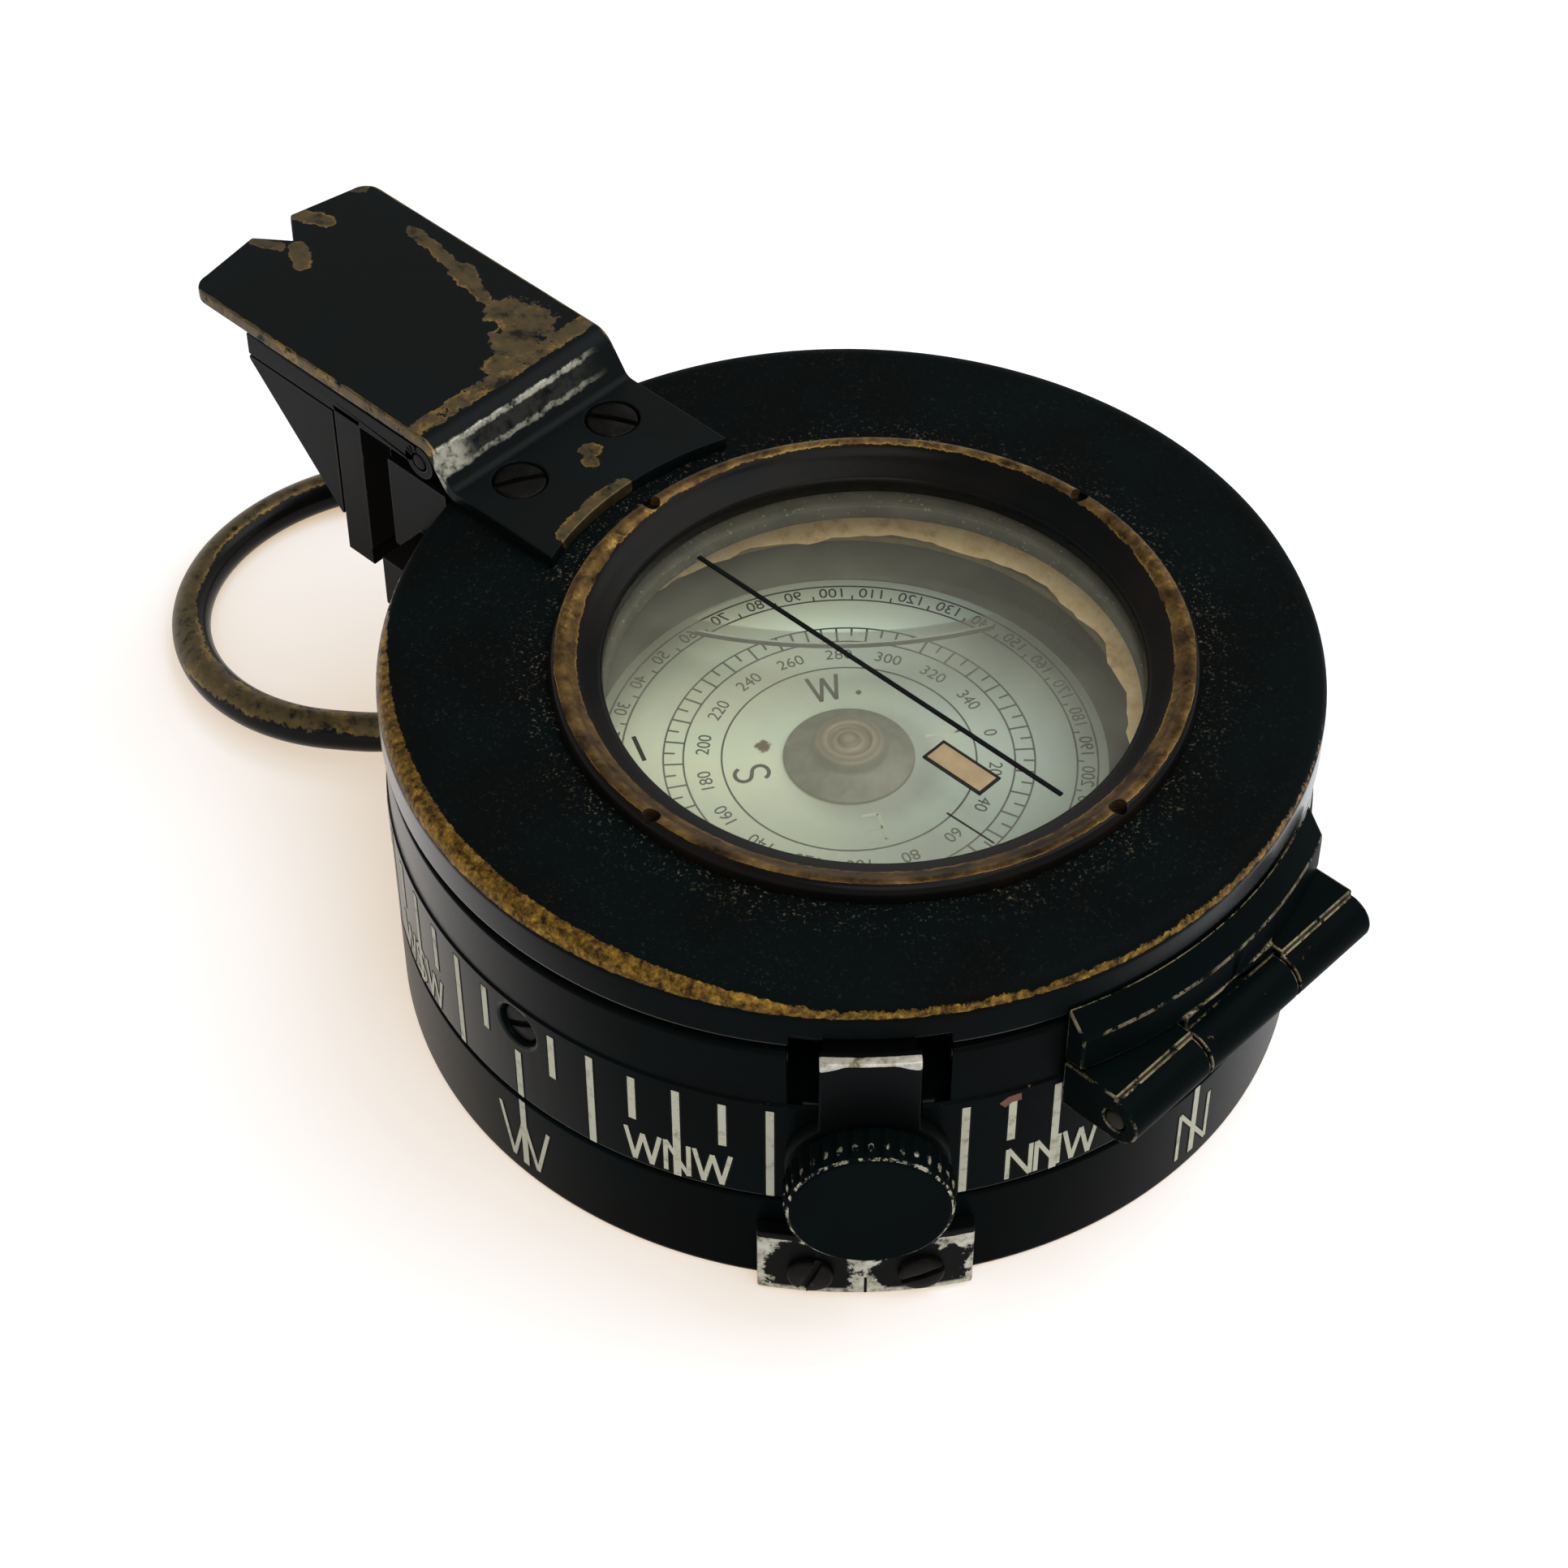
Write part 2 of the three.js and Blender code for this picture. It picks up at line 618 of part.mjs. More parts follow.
function addDirectionRing() {
  const glassRadius = bezelBore + DIRECTION_GLASS_SEAT;
  const glassBottom = directionTop - DIRECTION_GLASS_THICKNESS;
  place(
    "direction_ring",
    turned([
      [bezelBore, directionBottom],
      [mouthRadius - RUN, directionBottom],
      [mouthRadius - RUN, directionTop],
      [glassRadius + FIT, directionTop],
      [glassRadius + FIT, glassBottom],
      [bezelBore, glassBottom],
    ], INNER_ROUND),
    blackPaint,
  );
  place("direction_glass", disc(glassRadius, glassBottom, directionTop, INNER_ROUND), glass);
  place(
    "direction_mark",
    box(
      MARK_CENTRE - MARK_LENGTH / 2,
      MARK_CENTRE + MARK_LENGTH / 2,
      -MARK_WIDTH / 2,
      MARK_WIDTH / 2,
      directionTop,
      directionTop + MARK_THICKNESS,
    ),
    luminous,
  );
}

function addLid() {
  const recessRadius = CASE_RADIUS - LID_RIM;
  const plate = turned([
    [0, lidBottom + LID_RECESS],
    [recessRadius, lidBottom + LID_RECESS],
    [recessRadius, lidBottom],
    [CASE_RADIUS, lidBottom],
    [CASE_RADIUS, lidTop - LID_CHAMFER],
    [CASE_RADIUS - 0.3 * LID_CHAMFER, lidTop - 0.3 * LID_CHAMFER],
    [CASE_RADIUS - LID_CHAMFER, lidTop],
    [0, lidTop],
  ]);
  const sightBore = disc(windowRadius, lidBottom - 1, lidTop + 1).translate(WINDOW_OFFSET, 0, 0);
  const glassBore = disc(lidGlassRadius + FIT, lidGlassBottom, lidTop + 1).translate(WINDOW_OFFSET, 0, 0);
  const relief = atClamp(
    recessRadius - OPEN,
    CASE_RADIUS + 1,
    CLAMP_NOTCH_WIDTH / 2,
    lidBottom - 1,
    lidBottom + LID_RELIEF,
  );
  const screwHoles = [-1, 1].map((side) =>
    rodZ(
      TONGUE_SCREW_SHANK + FIT,
      tongueScrewX,
      (side * TONGUE_SCREW_SPACING) / 2,
      lidTop + TONGUE_THICKNESS - TONGUE_SCREW_LENGTH - FIT,
      lidTop + 1,
    ),
  );
  place("lid_ring", cut(plate, sightBore, glassBore, relief, ...screwHoles), blackPaint);

  const window = new THREE.Group();
  window.name = "lid_window";
  window.position.x = WINDOW_OFFSET;
  compass.add(window);
  const crest = lidTop + BEAD_HEIGHT;
  const bead = turned([
    [windowRadius, lidGlassTop],
    [lidGlassRadius, lidGlassTop],
    [lidGlassRadius, lidTop],
    [beadRadius, lidTop],
    [beadRadius, lidTop + BEAD_SHOULDER],
    [beadRadius - BEAD_CREST / 2, crest],
    [beadRadius - 1.5 * BEAD_CREST, crest],
    [windowRadius, lidTop],
  ]);
  const beadHoles = [0, 90, 180, 270].map((bearing) =>
    rodZ(BEAD_HOLE_RADIUS, beadRadius - BEAD_CREST, 0, crest - BEAD_HOLE_DEPTH, crest + 1)
      .rotateZ(degrees(bearing)),
  );
  place("window_ring", cut(bead, ...beadHoles), blackPaint, window);
  place("lid_glass", disc(lidGlassRadius, lidGlassBottom, lidGlassTop), glass, window);
  const hairEnd = windowRadius - HAIRLINE_MARGIN;
  place(
    "hairline",
    box(
      -hairEnd,
      hairEnd,
      -HAIRLINE_WIDTH / 2,
      HAIRLINE_WIDTH / 2,
      lidGlassTop,
      lidGlassTop + HAIRLINE_THICKNESS,
    ),
    inkBlack,
    window,
  );
}

// Side profile of the tongue: flange on the lid, a rise with two equal bends, and the plate over the prism.
function tongueProfile() {
  const angle = degrees(TONGUE_BEND_ANGLE);
  const radius = TONGUE_BEND_RADIUS;
  const slope = (TONGUE_RISE - 2 * radius * (1 - Math.cos(angle))) / Math.sin(angle);
  const half = TONGUE_THICKNESS / 2;
  const line = [];
  let x = 0;
  let z = lidTop + half;
  line.push([x, z, 0]);
  x = CASE_RADIUS - TONGUE_BEND_START;
  for (let i = 0; i <= BEND_STEPS; i += 1) {
    const a = (angle * i) / BEND_STEPS;
    line.push([x + radius * Math.sin(a), z + radius * (1 - Math.cos(a)), a]);
  }
  x += 2 * radius * Math.sin(angle) + slope * Math.cos(angle);
  z += TONGUE_RISE;
  for (let i = BEND_STEPS; i >= 0; i -= 1) {
    const a = (angle * i) / BEND_STEPS;
    line.push([x - radius * Math.sin(a), z - radius * (1 - Math.cos(a)), a]);
  }
  line.push([CASE_RADIUS + TONGUE_OVERHANG + 1, z, 0]);
  const offset = (side) =>
    line.map(([u, w, a]) => [-(u - side * half * Math.sin(a)), w + side * half * Math.cos(a)]);
  return [...offset(1), ...offset(-1).reverse()];
}

function tonguePlan() {
  const half = TONGUE_WIDTH / 2;
  const end = -(CASE_RADIUS + TONGUE_OVERHANG);
  const side = end + TONGUE_BOW;
  const plan = new THREE.Shape();
  plan.moveTo(0, -half);
  plan.lineTo(0, half);
  plan.lineTo(side + TONGUE_CORNER, half);
  plan.quadraticCurveTo(side, half, side, half - TONGUE_CORNER);
  plan.lineTo(end, NOTCH_WIDTH / 2);
  plan.lineTo(end + NOTCH_DEPTH, 0);
  plan.lineTo(end, -NOTCH_WIDTH / 2);
  plan.lineTo(side, -half + TONGUE_CORNER);
  plan.quadraticCurveTo(side, -half, side + TONGUE_CORNER, -half);
  const height = lidTop + TONGUE_RISE + TONGUE_THICKNESS;
  const outline = new THREE.ExtrudeGeometry(plan, { depth: height, bevelEnabled: false, curveSegments: 5 });
  return outline.translate(0, 0, 1);
}

function addTongue() {
  const bent = profiled(tongueProfile(), -TONGUE_WIDTH, TONGUE_WIDTH);
  const top = lidTop + TONGUE_THICKNESS;
  const clearRadius = beadRadius + TONGUE_WINDOW_GAP;
  const windowClear = disc(clearRadius, lidTop - 1, top + 1).translate(WINDOW_OFFSET, 0, 0);
  const sides = [-1, 1].map((side) => (side * TONGUE_SCREW_SPACING) / 2);
  const holes = sides.map((y) => rodZ(TONGUE_SCREW_HEAD + FIT, tongueScrewX, y, lidTop - 1, top + 1));
  place("lid_tongue", cut(common(bent, tonguePlan()), windowClear, ...holes), blackPaint);
  sides.forEach((y, i) => {
    const made = screw(
      TONGUE_SCREW_HEAD,
      TONGUE_SCREW_HEAD_HEIGHT,
      TONGUE_SCREW_SHANK,
      TONGUE_SCREW_LENGTH,
    );
    place(`tongue_screw_${i + 1}`, made.translate(tongueScrewX, y, top), steel);
  });
}

function addHinge() {
  const half = HINGE_LENGTH / 2;
  const middle = HINGE_MIDDLE / 2;
  const low = hingeZ - HINGE_RADIUS;
  const high = hingeZ + HINGE_BLOCK_TOP;
  const inside = CASE_RADIUS / 2;
  const bore = rodY(HINGE_PIN_RADIUS + FIT, -half - 1, half + 1, hingeX, hingeZ);
  const caseSide = disc(sideRadius, low - 1, caseTop + LID_GAP + LID_THICKNESS);

  const backBand = ring(sideRadius, sideRadius + HINGE_BACK, low, high);
  const back = common(backBand, box(inside, hingeX, -half, half, low, high));
  const block = (y0, y1) => cut(box(inside, hingeX, y0, y1, low, high), caseSide);
  const gap = middle + RUN;
  const blocks = bothSides(block, gap, half);
  const knuckles = bothSides((y0, y1) => rodY(HINGE_RADIUS, y0, y1, hingeX, hingeZ), gap, half);
  const knuckleRoom = rodY(HINGE_RADIUS + RUN, -gap, gap, hingeX, hingeZ);
  const backRoom = box(inside, hingeX, -gap, gap, hingeZ - HINGE_RADIUS / 2, hingeZ + HINGE_RADIUS / 2);
  place("hinge_block", cut(join(back, ...blocks, ...knuckles), knuckleRoom, backRoom, bore), blackPaint);
  place("hinge_pin", rodY(HINGE_PIN_RADIUS, -half, half, hingeX, hingeZ), brass);

  const leafLow = high + OPEN;
  const leafRadius = sideRadius + HINGE_LEAF_THICKNESS;
  const leafSection = turned([
    [sideRadius, leafLow],
    [leafRadius, leafLow],
    [leafRadius, caseTop - HINGE_LEAF_EDGE],
    [sideRadius, lidBottom + HINGE_LEAF_LAP],
  ]);
  const leaf = common(leafSection, box(inside, hingeX + 1, -half, half, low, lidTop));
  const strapOut = leafRadius;
  const strap = box(strapOut - HINGE_STRAP, strapOut, -middle, middle, hingeZ, leafLow + OPEN);
  const knuckle = rodY(HINGE_RADIUS, -middle, middle, hingeX, hingeZ);
  place("lid_hinge_leaf", cut(join(leaf, strap, knuckle), bore.clone()), blackPaint);
}

// The prism's pieces are laid out from their axis: u is how far outside it and v how far above it.
const fromAxis = (corners) => corners.map(([u, v]) => [prismX - u, prismZ + v]).reverse();
const axisBox = (u0, u1, y0, y1, v0, v1) => box(prismX - u1, prismX - u0, y0, y1, prismZ + v0, prismZ + v1);
const armBottom = PRISM_BARREL - ARM_THICKNESS;
const bracketTop = -PRISM_BARREL - OPEN;
const bracketScrewLevel = prismZ + bracketTop - BRACKET_SCREW_DROP;
const bracketScrewSides = [-1, 1].map((side) => (side * BRACKET_SCREW_SPACING) / 2);

function bracketScrewHoles() {
  const face = prismX - BRACKET_PAD;
  return bracketScrewSides.map((y) =>
    rodX(BRACKET_SCREW_SHANK + FIT, face - 1, face + BRACKET_SCREW_LENGTH + FIT, y, bracketScrewLevel),
  );
}

function addPrismBracket() {
  const half = PRISM_WIDTH / 2;
  const middle = PRISM_MIDDLE / 2;
  const inner = -CASE_RADIUS / 2;
  const low = bracketTop - BRACKET_LENGTH;
  const cheek = fromAxis([
    [inner, bracketTop],
    [inner, low + BRACKET_TOE],
    [0, low + BRACKET_TOE],
    [BRACKET_TOE, low],
    [BRACKET_DEPTH, low],
    [BRACKET_DEPTH, bracketTop],
  ]);
  const cheeks = bothSides((y0, y1) => profiled(cheek, y0, y1), half - BRACKET_CHEEK, half);
  const pad = axisBox(inner, BRACKET_PAD, -half, half, low, bracketTop);
  const baseHalf = BRACKET_BASE_WIDTH / 2;
  const baseLow = low - BRACKET_BASE_DROP;
  const base = axisBox(inner, BRACKET_PAD, -baseHalf, baseHalf, baseLow, baseLow + BRACKET_BASE_HEIGHT);
  const web = axisBox(inner, PRISM_BARREL / 2, -middle, middle, bracketTop - 1, 0);
  const barrel = rodY(PRISM_BARREL, -middle, middle, prismX, prismZ);
  const caseSide = disc(sideRadius, 0, prismZ);
  const webTop = disc(CASE_RADIUS - LID_CHAMFER, 0, prismZ + 1);
  const body = cut(join(pad, base, ...cheeks, web), caseSide);
  const bore = rodY(PRISM_PIN_RADIUS + FIT, -half - 1, half + 1, prismX, prismZ);
  place("prism_bracket", cut(join(body, cut(barrel, webTop)), bore, ...bracketScrewHoles()), blackPaint);
  place("prism_pin", rodY(PRISM_PIN_RADIUS, -half, half, prismX, prismZ), steel);
  bracketScrewSides.forEach((y, i) => {
    const made = screw(
      BRACKET_SCREW_HEAD,
      BRACKET_SCREW_HEAD_HEIGHT,
      BRACKET_SCREW_SHANK,
      BRACKET_SCREW_LENGTH + BRACKET_SCREW_HEAD_HEIGHT,
    );
    const head = prismX - BRACKET_PAD - BRACKET_SCREW_HEAD_HEIGHT;
    place(`bracket_screw_${i + 1}`, made.rotateY(-Math.PI / 2).translate(head, y, bracketScrewLevel), steel);
  });
}

function addPrism() {
  const half = PRISM_WIDTH / 2;
  const middle = PRISM_MIDDLE / 2 + RUN;
  const railEnd = RAIL_START + RAIL_DEPTH;
  const railLow = armBottom - RAIL_LENGTH;
  const boxStart = railEnd + RUN;
  const boxTop = armBottom - RUN;
  const boxLow = boxTop - PRISM_DEPTH;
  const lip = boxTop - PRISM_LIP;
  const toe = boxStart + PRISM_TOE;
  const slant = (ARM_REACH - toe) / (lip - boxLow);

  const plate = axisBox(0, ARM_REACH, -half, half, armBottom, PRISM_BARREL);
  const knuckles = bothSides((y0, y1) => rodY(PRISM_BARREL, y0, y1, prismX, prismZ), middle, half);
  const rails = bothSides(
    (y0, y1) => axisBox(RAIL_START, railEnd, y0, y1, railLow, 0),
    half - RAIL_WIDTH,
    half,
  );
  const foot = axisBox(RAIL_START, railEnd, -half, half, railLow, railLow + RAIL_FOOT);
  const opening = axisBox(
    ARM_WINDOW_START,
    ARM_WINDOW_START + ARM_WINDOW_LENGTH,
    -ARM_WINDOW_WIDTH / 2,
    ARM_WINDOW_WIDTH / 2,
    armBottom - 1,
    PRISM_BARREL + 1,
  );
  const knuckleRoom = axisBox(
    -PRISM_BARREL - 1,
    Math.max(PRISM_BARREL, PRISM_OUT) + OPEN,
    -middle,
    middle,
    -PRISM_BARREL - 1,
    PRISM_BARREL + 1,
  );
  const grooveOut = half - GROOVE_INSET;
  const grooves = bothSides(
    (y0, y1) => axisBox(railEnd - GROOVE_DEPTH, railEnd + 1, y0, y1, railLow - 1, armBottom),
    grooveOut - GROOVE_WIDTH,
    grooveOut,
  );
  const bore = rodY(PRISM_PIN_RADIUS + FIT, -half - 1, half + 1, prismX, prismZ);
  const arm = join(plate, ...knuckles, ...rails, foot);
  place("prism_arm", cut(arm, opening, knuckleRoom, ...grooves, bore), blackPaint);

  const outer = fromAxis([
    [boxStart, boxLow],
    [boxStart, boxTop],
    [ARM_REACH, boxTop],
    [ARM_REACH, lip],
    [toe, boxLow],
  ]).reverse();
  const wall = PRISM_WALL * Math.hypot(1, slant);
  const cavity = fromAxis([
    [boxStart - 1, boxLow + (wall - PRISM_TOE - 1) / slant],
    [boxStart - 1, boxTop + 1],
    [ARM_REACH - wall, boxTop + 1],
    [ARM_REACH - wall, lip],
  ]).reverse();
  const inner = half - PRISM_CHEEK;
  const housing = cut(profiled(outer, -half, half), profiled(cavity, -inner, inner));
  const tabs = bothSides(
    (y0, y1) => axisBox(railEnd - GROOVE_DEPTH + RUN, boxStart + 1, y0, y1, boxLow + RAIL_FOOT, boxTop),
    grooveOut - GROOVE_WIDTH + RUN,
    grooveOut - RUN,
  );
  place("prism_housing", join(housing, ...tabs), blackPaint);

  const glassInset = wall + PRISM_GLASS_GAP;
  const glassTop = boxTop - FIT;
  const glassStart = boxStart + FIT;
  const block = fromAxis([
    [glassStart, boxLow + (glassInset - PRISM_TOE + FIT) / slant],
    [glassStart, glassTop],
    [ARM_REACH - glassInset, glassTop],
    [ARM_REACH - glassInset, lip],
  ]).reverse();
  place("prism_glass", profiled(block, -inner + FIT, inner - FIT), glass);
}

// Round bow of the thumb ring in its own plane, from its axis outwards.
class Bow extends THREE.Curve {
  constructor(centre, radius, halfAngle) {
    super();
    Object.assign(this, { centre, radius, halfAngle });
  }

  getPoint(t, target = new THREE.Vector3()) {
    const angle = this.halfAngle * (2 * t - 1);
    return target.set(this.centre + this.radius * Math.cos(angle), this.radius * Math.sin(angle), 0);
  }
}

function addThumbRing() {
  const centre = RING_REACH - RING_BOW_RADIUS;
  const halfAngle = degrees(RING_BOW_HALF_ANGLE);
  const bowEnd = new THREE.Vector3(
    centre + RING_BOW_RADIUS * Math.cos(halfAngle),
    RING_BOW_RADIUS * Math.sin(halfAngle),
    0,
  );
  const leg = new THREE.Vector3(-Math.sin(halfAngle), Math.cos(halfAngle), 0).setLength(RING_LEG).add(bowEnd);

  const half = LUG_LENGTH / 2;
  const pinEnd = half + RING_SIDE_PLAY + OPEN;
  const cornerY = pinEnd + RING_CORNER;
  const inside = -CASE_RADIUS / 2;
  const low = LUG_HEIGHT - LUG_RADIUS;
  const high = LUG_HEIGHT + LUG_RADIUS;
  const bore = rodY(WIRE_RADIUS + FIT, -half - 1, half + 1, lugX, LUG_HEIGHT);
  const lug = join(
    box(lugX, inside, -half, half, low, high),
    rodY(LUG_RADIUS, -half, half, lugX, LUG_HEIGHT),
  );
  place("thumb_ring_lug", cut(lug, disc(sideRadius, low - 1, high + 1), bore), blackPaint);

  const at = (u, y) => new THREE.Vector3(u, y, 0);
  const legCurve = (side) =>
    [at(0, side * pinEnd), at(0, side * cornerY), at(leg.x, side * leg.y), at(bowEnd.x, side * bowEnd.y)];
  const path = new THREE.CurvePath();
  path.add(new THREE.LineCurve3(at(0, -RING_PIN_START), at(0, -pinEnd)));
  path.add(new THREE.CubicBezierCurve3(...legCurve(-1)));
  path.add(new Bow(centre, RING_BOW_RADIUS, halfAngle));
  path.add(new THREE.CubicBezierCurve3(...legCurve(1).reverse()));
  path.add(new THREE.LineCurve3(at(0, pinEnd), at(0, RING_PIN_START)));
  const section = new THREE.Shape().absarc(0, 0, WIRE_RADIUS, 0, 2 * Math.PI);
  const wire = new THREE.ExtrudeGeometry(section, {
    steps: WIRE_STEPS,
    curveSegments: WIRE_QUARTER_SIDES,
    extrudePath: path,
  });
  const mesh = place("thumb_ring", wire.rotateZ(Math.PI), blackPaint);
  mesh.position.set(lugX, -RING_SIDE_PLAY, LUG_HEIGHT);
  mesh.rotation.y = -Math.asin((LUG_HEIGHT - WIRE_RADIUS - RING_LIFT) / RING_REACH);
}

const footScrewBearings = [-1, 1].map((side) => CLAMP_BEARING + side * FOOT_SCREW_SPREAD);

function footScrewHoles() {
  const end = clampRadius - FOOT_SCREW_LENGTH - FIT;
  return footScrewBearings.map((bearing) =>
    rodX(FOOT_SCREW_SHANK + FIT, end, clampRadius + 1, 0, FOOT_SCREW_HEIGHT).rotateZ(degrees(bearing)),
  );
}

function knobShape() {
  const shape = new THREE.Shape();
  const step = Math.PI / KNOB_TEETH;
  for (let i = 0; i < 2 * KNOB_TEETH; i += 1) {
    const radius = i % 2 ? KNOB_RADIUS - KNOB_TOOTH : KNOB_RADIUS;
    const point = [radius * Math.cos(i * step), radius * Math.sin(i * step)];
    if (i === 0) shape.moveTo(...point);
    else shape.lineTo(...point);
  }
  return shape;
}

function addClamp() {
  const lipTop = caseTop + CLAMP_LIP_RISE;
  const lipHalf = CLAMP_LIP_WIDTH / 2;
  const around = ring(sideRadius, clampRadius, CLAMP_FOOT_LOW, lipTop);
  const far = clampRadius + 1;
  const outline = join(
    atClamp(CASE_RADIUS / 2, far, CLAMP_FOOT_WIDTH / 2, CLAMP_FOOT_LOW, CLAMP_FOOT_HIGH),
    atClamp(CASE_RADIUS / 2, far, lipHalf, CLAMP_FOOT_LOW, lipTop),
    rodX(CLAMP_DISC_RADIUS, CASE_RADIUS / 2, far, 0, KNOB_HEIGHT).rotateZ(clampTurn),
  );
  const fingerTop = Math.min(lidBottom - OPEN, directionTop + OPEN);
  const fingerBottom = fingerTop - CLAMP_FINGER;
  const finger = atClamp(mouthRadius + OPEN, sideRadius + FIT, lipHalf - OPEN, fingerBottom, fingerTop);
  const screwHole = rodX(KNOB_SHANK + RUN, CASE_RADIUS / 2, far, 0, KNOB_HEIGHT).rotateZ(clampTurn);
  place("clamp_plate", cut(join(common(around, outline), finger), screwHole, ...footScrewHoles()), nickel);

  footScrewBearings.forEach((bearing, i) => {
    const made = screw(
      FOOT_SCREW_HEAD,
      FOOT_SCREW_HEAD_HEIGHT,
      FOOT_SCREW_SHANK,
      FOOT_SCREW_LENGTH + FOOT_SCREW_HEAD_HEIGHT,
    );
    const head = clampRadius + FOOT_SCREW_HEAD_HEIGHT;
    place(`clamp_foot_screw_${i + 1}`, outwards(made, head, FOOT_SCREW_HEIGHT, bearing), steel);
  });

  const back = clampRadius + OPEN;
  const knob = new THREE.ExtrudeGeometry(knobShape(), {
    depth: KNOB_THICKNESS,
    bevelEnabled: false,
  });
  const shankLength = back - skirtRadius - OPEN;
  const shank = disc(KNOB_SHANK, -shankLength, KNOB_THICKNESS / 2, SMALL_ROUND);
  place("clamp_screw", outwards(join(knob, shank), back, KNOB_HEIGHT, CLAMP_BEARING), blackPaint);
}

addCase();
addBase();
addBowl();
addCard();
addDirectionRing();
addLid();
addTongue();
addHinge();
addPrismBracket();
addPrism();
addThumbRing();
addClamp();

export default compass;
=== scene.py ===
"""Prismatic marching compass in worn black enamel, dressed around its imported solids.

Shapes are worked out in millimetres and become metres when a piece is made. The case stands on the table,
with the lid's hinge at +X and the prism and the thumb ring at -X.
"""

import math
from collections import namedtuple

import bmesh
import bpy
from mathutils import Matrix, Vector, noise


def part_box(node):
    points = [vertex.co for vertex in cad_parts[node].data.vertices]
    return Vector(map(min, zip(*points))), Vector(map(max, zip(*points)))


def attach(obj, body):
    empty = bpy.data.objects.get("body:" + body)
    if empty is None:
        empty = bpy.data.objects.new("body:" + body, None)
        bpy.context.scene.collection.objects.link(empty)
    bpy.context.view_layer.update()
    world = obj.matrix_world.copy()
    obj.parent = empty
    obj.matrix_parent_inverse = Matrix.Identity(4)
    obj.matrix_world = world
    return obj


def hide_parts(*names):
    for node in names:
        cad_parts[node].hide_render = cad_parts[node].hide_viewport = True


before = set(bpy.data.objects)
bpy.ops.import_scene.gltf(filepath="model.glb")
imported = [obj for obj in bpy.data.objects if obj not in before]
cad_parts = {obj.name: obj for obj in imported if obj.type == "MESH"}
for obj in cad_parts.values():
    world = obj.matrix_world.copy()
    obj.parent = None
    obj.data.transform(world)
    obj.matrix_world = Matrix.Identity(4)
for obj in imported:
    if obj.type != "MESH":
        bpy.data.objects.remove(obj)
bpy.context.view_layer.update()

MM = 0.001
Span = namedtuple("Span", "x0 y0 z0 x1 y1 z1")


def span(node):
    """A node's lowest and highest corner at rest, in millimetres."""
    low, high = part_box(node)
    return Span(*[value / MM for value in (*low, *high)])


# Places taken from the frame
shell = span("body_shell")
base_band = span("base_ring")
lid = span("lid_ring")
window = span("window_ring")
lid_glass = span("lid_glass")
tongue = span("lid_tongue")
bowl = span("bowl")
seal = span("bowl_seal")
bowl_glass = span("bowl_glass")
bezel = span("bowl_bezel")
turning_ring = span("direction_ring")
turning_glass = span("direction_glass")
mark = span("direction_mark")
card = span("card")
card_cap = span("card_cap")
hinge = span("hinge_block")
arm = span("prism_arm")
housing = span("prism_housing")
bracket = span("prism_bracket")
lug = span("thumb_ring_lug")

# Facets and steps
ROUND = 192
FINE = 40
CAP_FACETS = 96
HOLE_FACETS = 24
DISC_FACETS = 64
WIRE_FACETS = 28
ARC_STEPS = 4
BEVEL_STEPS = 2
BEND_STEPS = 24
BOW_STEPS = 96
TOOTH_FACETS = 8

# Corners closer than WELD are joined, edges under FLAT_ANGLE go and edges over SHARP_ANGLE are rounded
WELD = 0.004
FLAT_ANGLE = 0.4
SHARP_ANGLE = 34

# Clearances, how far a cutting tool passes a surface, and where a block starts inside the case
RUN = 0.15
CLEAR = 0.1
PAST = 1
INSIDE = 15

# Screws, the turn of each one's slot, and the sides that a pair stands on
Screw = namedtuple("Screw", "head thickness shank length")
SLOT_HALF = 0.24
SLOT_DEPTH = 0.45
LOCK_SCREW = Screw(1.4, 1.1, 1.3, 2.2)
LOCK_SLOTS = (35, 35)
TONGUE_SCREW = Screw(1.75, 0.9, 0.9, 2.9)
TONGUE_SLOTS = (62, 28)
BRACKET_SCREW = Screw(1.3, 0.6, 0.8, 5.6)
BRACKET_SLOTS = (20, 60)
FOOT_SCREW = Screw(1.45, 0.6, 0.8, 3.7)
FOOT_SLOTS = (70, 20)
SIDES = (-1, 1)

# Case
CASE_RADIUS = lid.x1
UPPER_RADIUS = 29.85
STEP_LEVEL = 16.95
MOUTH_RADIUS = 25
SKIRT_RADIUS = 26.6
STAND = 0.15
SIDE_RADIUS = CASE_RADIUS + STAND
LEDGE_LEVEL = bowl.z1 - 1
LEDGE_THICKNESS = 1.8
LEDGE_BORE = 20.2
SPIGOT_RADIUS = SKIRT_RADIUS - CLEAR
SPIGOT_BORE = 25.2
SPIGOT_LEVEL = base_band.z1 - 2.2
GASKET_TOP = 2.1
GASKET_BORE = 24.6
BASE_LEDGE_LEVEL = 3.7
LOCK_LEVEL = 14.9
LOCK_BEARING = 90
LOCK_SINK = 2.3
LOCK_FLARE = 0.4
LOCK_INSET = 0.3

# Bowl, card and turning glass
BOWL_FLOOR = 1.6
SEAL_BORE = seal.x1 - 2.4
GLASS_BORE = 19.4
FILLET_BORE = 17.6
FILLET_FOOT = 0.55
FILLET_CREST = (18.6, 20.1)
FILLET_WIDEST = math.radians(165)
FILLET_WAVES = 2.2
FILLET_WAVE = 0.045
FILLET_SWELL = 0.04
FILLET_SETBACK = 0.012
CARD_BORE = 2
CARD_RADIUS = 16.9
CAP_CUP = 1.1
CAP_CUP_DEPTH = 1.3
CAP_HUB = 1.9
CAP_FLANGE = 4.3
CAP_FLANGE_THICKNESS = 0.2
MARK_EDGE = 0.2
GLASS_LINE = 0.03
DIRECTION_LINE = ((11.4, -3.5), (15.2, -3.4))
DIRECTION_LINE_WIDTH = 0.13
